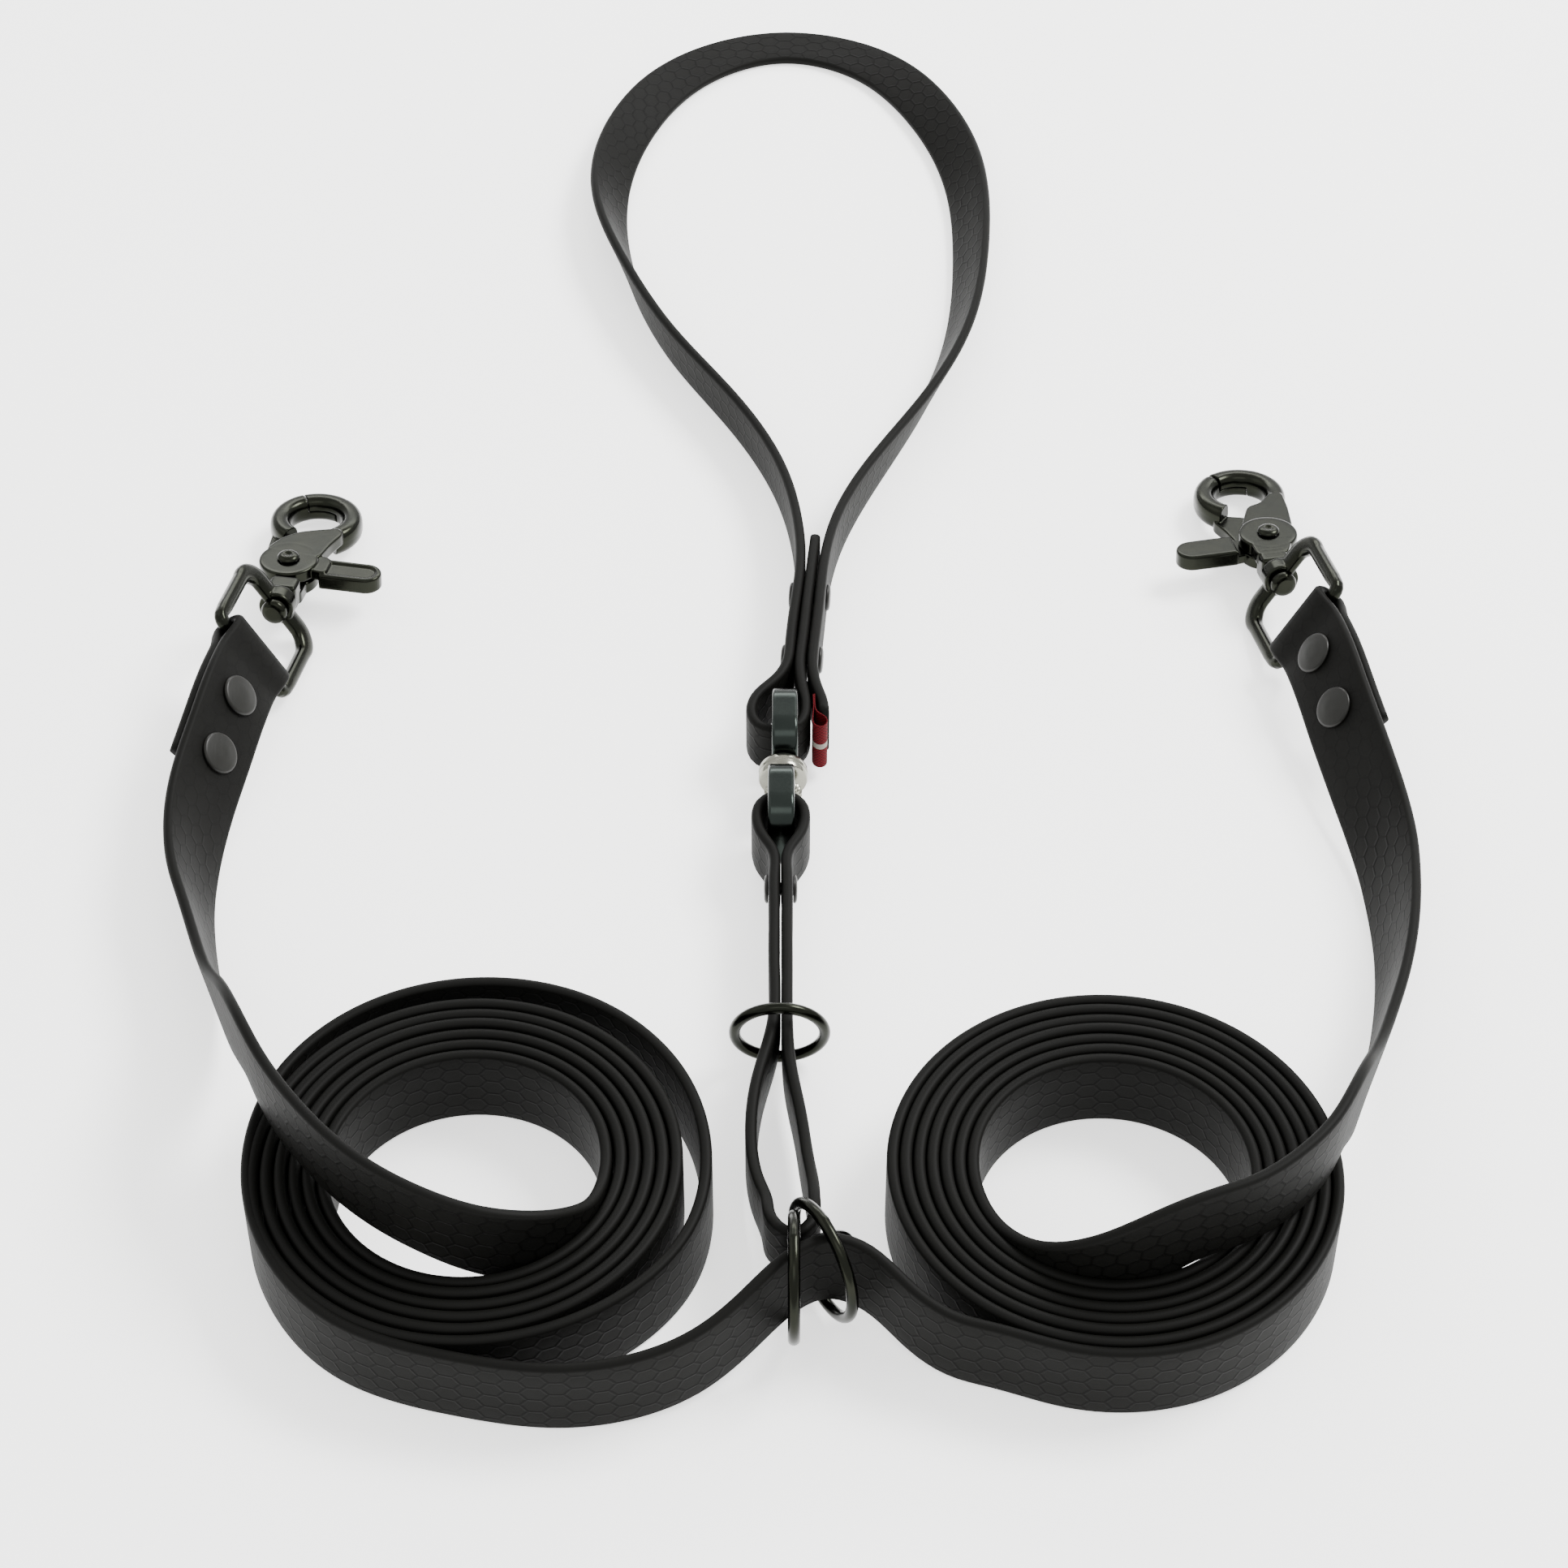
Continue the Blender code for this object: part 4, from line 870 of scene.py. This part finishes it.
def lobe(points, spacing=0.6):
    # an outline through a few corners, rounded by averaging neighbours
    line = dense(np.array(points, float), spacing)
    for _ in range(6):
        line = (np.roll(line, 1, 0) + 2 * line + np.roll(line, -1, 0)) / 4
    return line


def hookShape():
    # the lower plate, its link to the left jaw, the lap, the neck, and the stud with its head
    under, face = -snap["top"], -snap["lap"]
    disc = washer(snap["hole"], snap["plate"], under, face, 0.4)
    link = plate(lobe([(-6.6, 1.7), (-8.0, 10.0), (-8.6, 17.2), (-5.4, 17.6), (-2.2, 13.8), (1.4, 12.8),
                       (6.0, 3.1)]), -snap["half"], face, 0.5)
    root = plate(lobe([(-5.3, -2.6), (-2.2, -9.2), (5.2, -9.2), (5.3, -2.6)]), under, face, 0.4)
    neck = plate(lobe([(-1.9, -12.0), (4.9, -12.0), (4.9, -6.8), (-1.9, -6.8)], 0.4), under, 3.1, 0.9)
    bossEnd = snap["neckEnd"] - 0.6 - loopShape["bossLength"]
    stud = lathe([(0.02, bossEnd - 2.2), (1.8, bossEnd - 2.2), (2.6, bossEnd - 1.9), (3.0, bossEnd - 1.3),
                  (3.1, bossEnd - 0.2), (2.9, bossEnd), (2.0, bossEnd), (2.0, -10.5), (0.02, -10.5)],
                 steps=48)
    stud = moved(stud, along((0, 1, 0)), (snap["studX"], 0, 0))
    lap = jaw(62, 132, high=face, trim=snap["lapTrim"])
    return joined([disc, link, jaw(123.6, 240), lap, root, neck, stud])


def triggerShape():
    # the upper plate, its link to the right jaw, the lap, and the thumb lever with a raised rim
    face = snap["lap"]
    disc = washer(snap["hole"], snap["plate"], face, snap["top"], 0.4)
    link = plate(lobe([(6.8, 1.7), (8.0, 8.0), (9.7, 13.2), (8.3, 15.4), (4.6, 14.2), (-0.8, 12.0),
                       (-4.2, 8.6), (-6.6, 3.1)]), face, snap["top"], 0.45)
    root = plate(lobe([(2.8, -2.4), (9.8, -3.6), (9.8, 3.0), (3.8, 4.2)]), face, 2.7, 0.35)
    a = np.linspace(-math.pi / 2, math.pi / 2, 16)
    r = snap["leverHalf"]
    tip = np.stack([snap["leverTip"] - r + r * np.cos(a), -0.5 + r * np.sin(a)], -1)
    lever = plate(dense(np.concatenate([[(8.2, -4.2)], tip, [(8.2, 3.2)]]), 0.8), -1.6, 2.3, 0.55, 0.4)
    lap = jaw(50, 122, low=face, trim=snap["lapTrim"])
    return joined([disc, link, jaw(-49, 56), lap, root, lever])


def pinShape():
    # low domed heads with a centre dimple, and the shaft between them
    end = snap["top"] + 0.3
    upper = [(1.5, end), (2.5, end), (2.62, end + 0.2), (2.45, end + 0.55), (2.0, end + 0.85),
             (1.4, end + 1.0), (0.9, end + 0.95), (0.5, end + 0.7), (0.02, end + 0.62)]
    lower = [(x, -z) for x, z in upper[::-1]]
    return lathe(lower + upper, steps=56)


def springShape():
    # a helix of round wire: two turns round the pin, climbing 0.75 mm a turn
    a = np.linspace(0, 4 * math.pi, 121)[:, None]
    b = np.linspace(0, 2 * math.pi, 12, endpoint=False)[None]
    wire = springWire["radius"]
    reach = springWire["coil"] + wire * np.cos(b)
    height = springWire["start"] + springWire["climb"] * a / (2 * math.pi) + wire * np.sin(b)
    return skin(np.stack([reach * np.cos(a), reach * np.sin(a), height], -1), False)


def loopBody():
    # a D-shaped loop: a rounded rectangle of wire, flatter and wider along its top, with a boss there
    half, length = loopShape["half"], loopShape["length"]
    line = []
    corners = [(1, length, 5.0), (-1, length, 5.0), (-1, 0, 1.9), (1, 0, 1.9)]
    for quarter, (sx, top, radius) in enumerate(corners):
        a = np.linspace(0, math.pi / 2, 10) + quarter * math.pi / 2
        centre = np.array([sx * (half - radius), top - radius if top else radius])
        line.append(centre + radius * np.stack([np.cos(a), np.sin(a)], -1))
    path = evenly(np.concatenate(line), 110)
    ahead = headings(np.column_stack([path, np.zeros(len(path))]), True)[:, :2]
    out = np.stack([ahead[:, 1], -ahead[:, 0]], -1)
    arm = eased((path[:, 1] - 1.0) / 4.0)[:, None]
    section = superellipse(1.0, 1.0, 2.6, 24)
    crown = eased((path[:, 1] - length * 0.72) / (length * 0.2))[:, None]
    wide = loopShape["bar"] + (loopShape["arm"][0] - loopShape["bar"]) * arm + \
        (loopShape["top"] - loopShape["arm"][0]) * crown
    deep = loopShape["bar"] + (loopShape["arm"][1] - loopShape["bar"]) * arm
    flat = path[:, None] + out[:, None] * (section[None, :, :1] * wide[:, :, None])
    rows = np.concatenate([flat, (section[None, :, 1] * deep)[:, :, None]], -1)
    bossHalf = loopShape["bossLength"] / 2
    boss = washer(loopShape["bossHole"], loopShape["boss"], -bossHalf, bossHalf, 0.5)
    return joined([skin(rows, True), moved(boss, along((0, 1, 0)), (0, length, 0))])


def snapFrames(side):
    # the hook's and the loop's own X, Y and Z, from their joints' axes
    words = ("snap_swivel", "trigger_open", "loop_swing")
    swivel, opening, swing = (joints[f"{side}_{word}"] for word in words)
    y = np.array(swivel["axis"])
    hookZ = -np.array(opening["axis"])
    loopX = np.array(swing["axis"])
    hook = np.array([np.cross(y, hookZ), y, hookZ])
    loop = np.array([loopX, y, np.cross(loopX, y)])
    return hook, np.array(opening["pos_m"]), loop, np.array(swing["pos_m"])


def placed(shape, turn, place):
    points, faces = moved(shape, turn)
    return points / 1000 + place, faces


snapPieces = [  # piece, material, body, the CAD node it stands for, smoothing angle
    ("body", "gunmetal", "hook", "hook_body", 180), ("pin", "gunmetal", "hook", "trigger_pin", 50),
    ("spring", "nickel", "hook", "trigger_spring", 180), ("trigger", "gunmetal", "trigger", "trigger", 180),
    ("loop", "gunmetal", "loop", "swivel_loop", 180)]


def makeSnaps():
    shapes = {"body": cast(hookShape(), castGrid["jaws"], castGrid["rounds"]),
              "trigger": cast(triggerShape(), castGrid["jaws"], castGrid["rounds"]),
              "loop": cast(loopBody(), castGrid["loop"], castGrid["rounds"]),
              "pin": pinShape(), "spring": springShape()}
    for side in ("left", "right"):
        turn, place, loopTurn, loopPlace = snapFrames(side)
        for piece, material, body, node, smooth in snapPieces:
            onLoop = piece == "loop"
            shape = placed(shapes[piece], loopTurn if onLoop else turn, loopPlace if onLoop else place)
            newObject(f"{side}_snap_{piece}", shape, material, f"{side}_{body}", [f"{side}_{node}"], smooth)


makeSnaps()
print("snaps made")
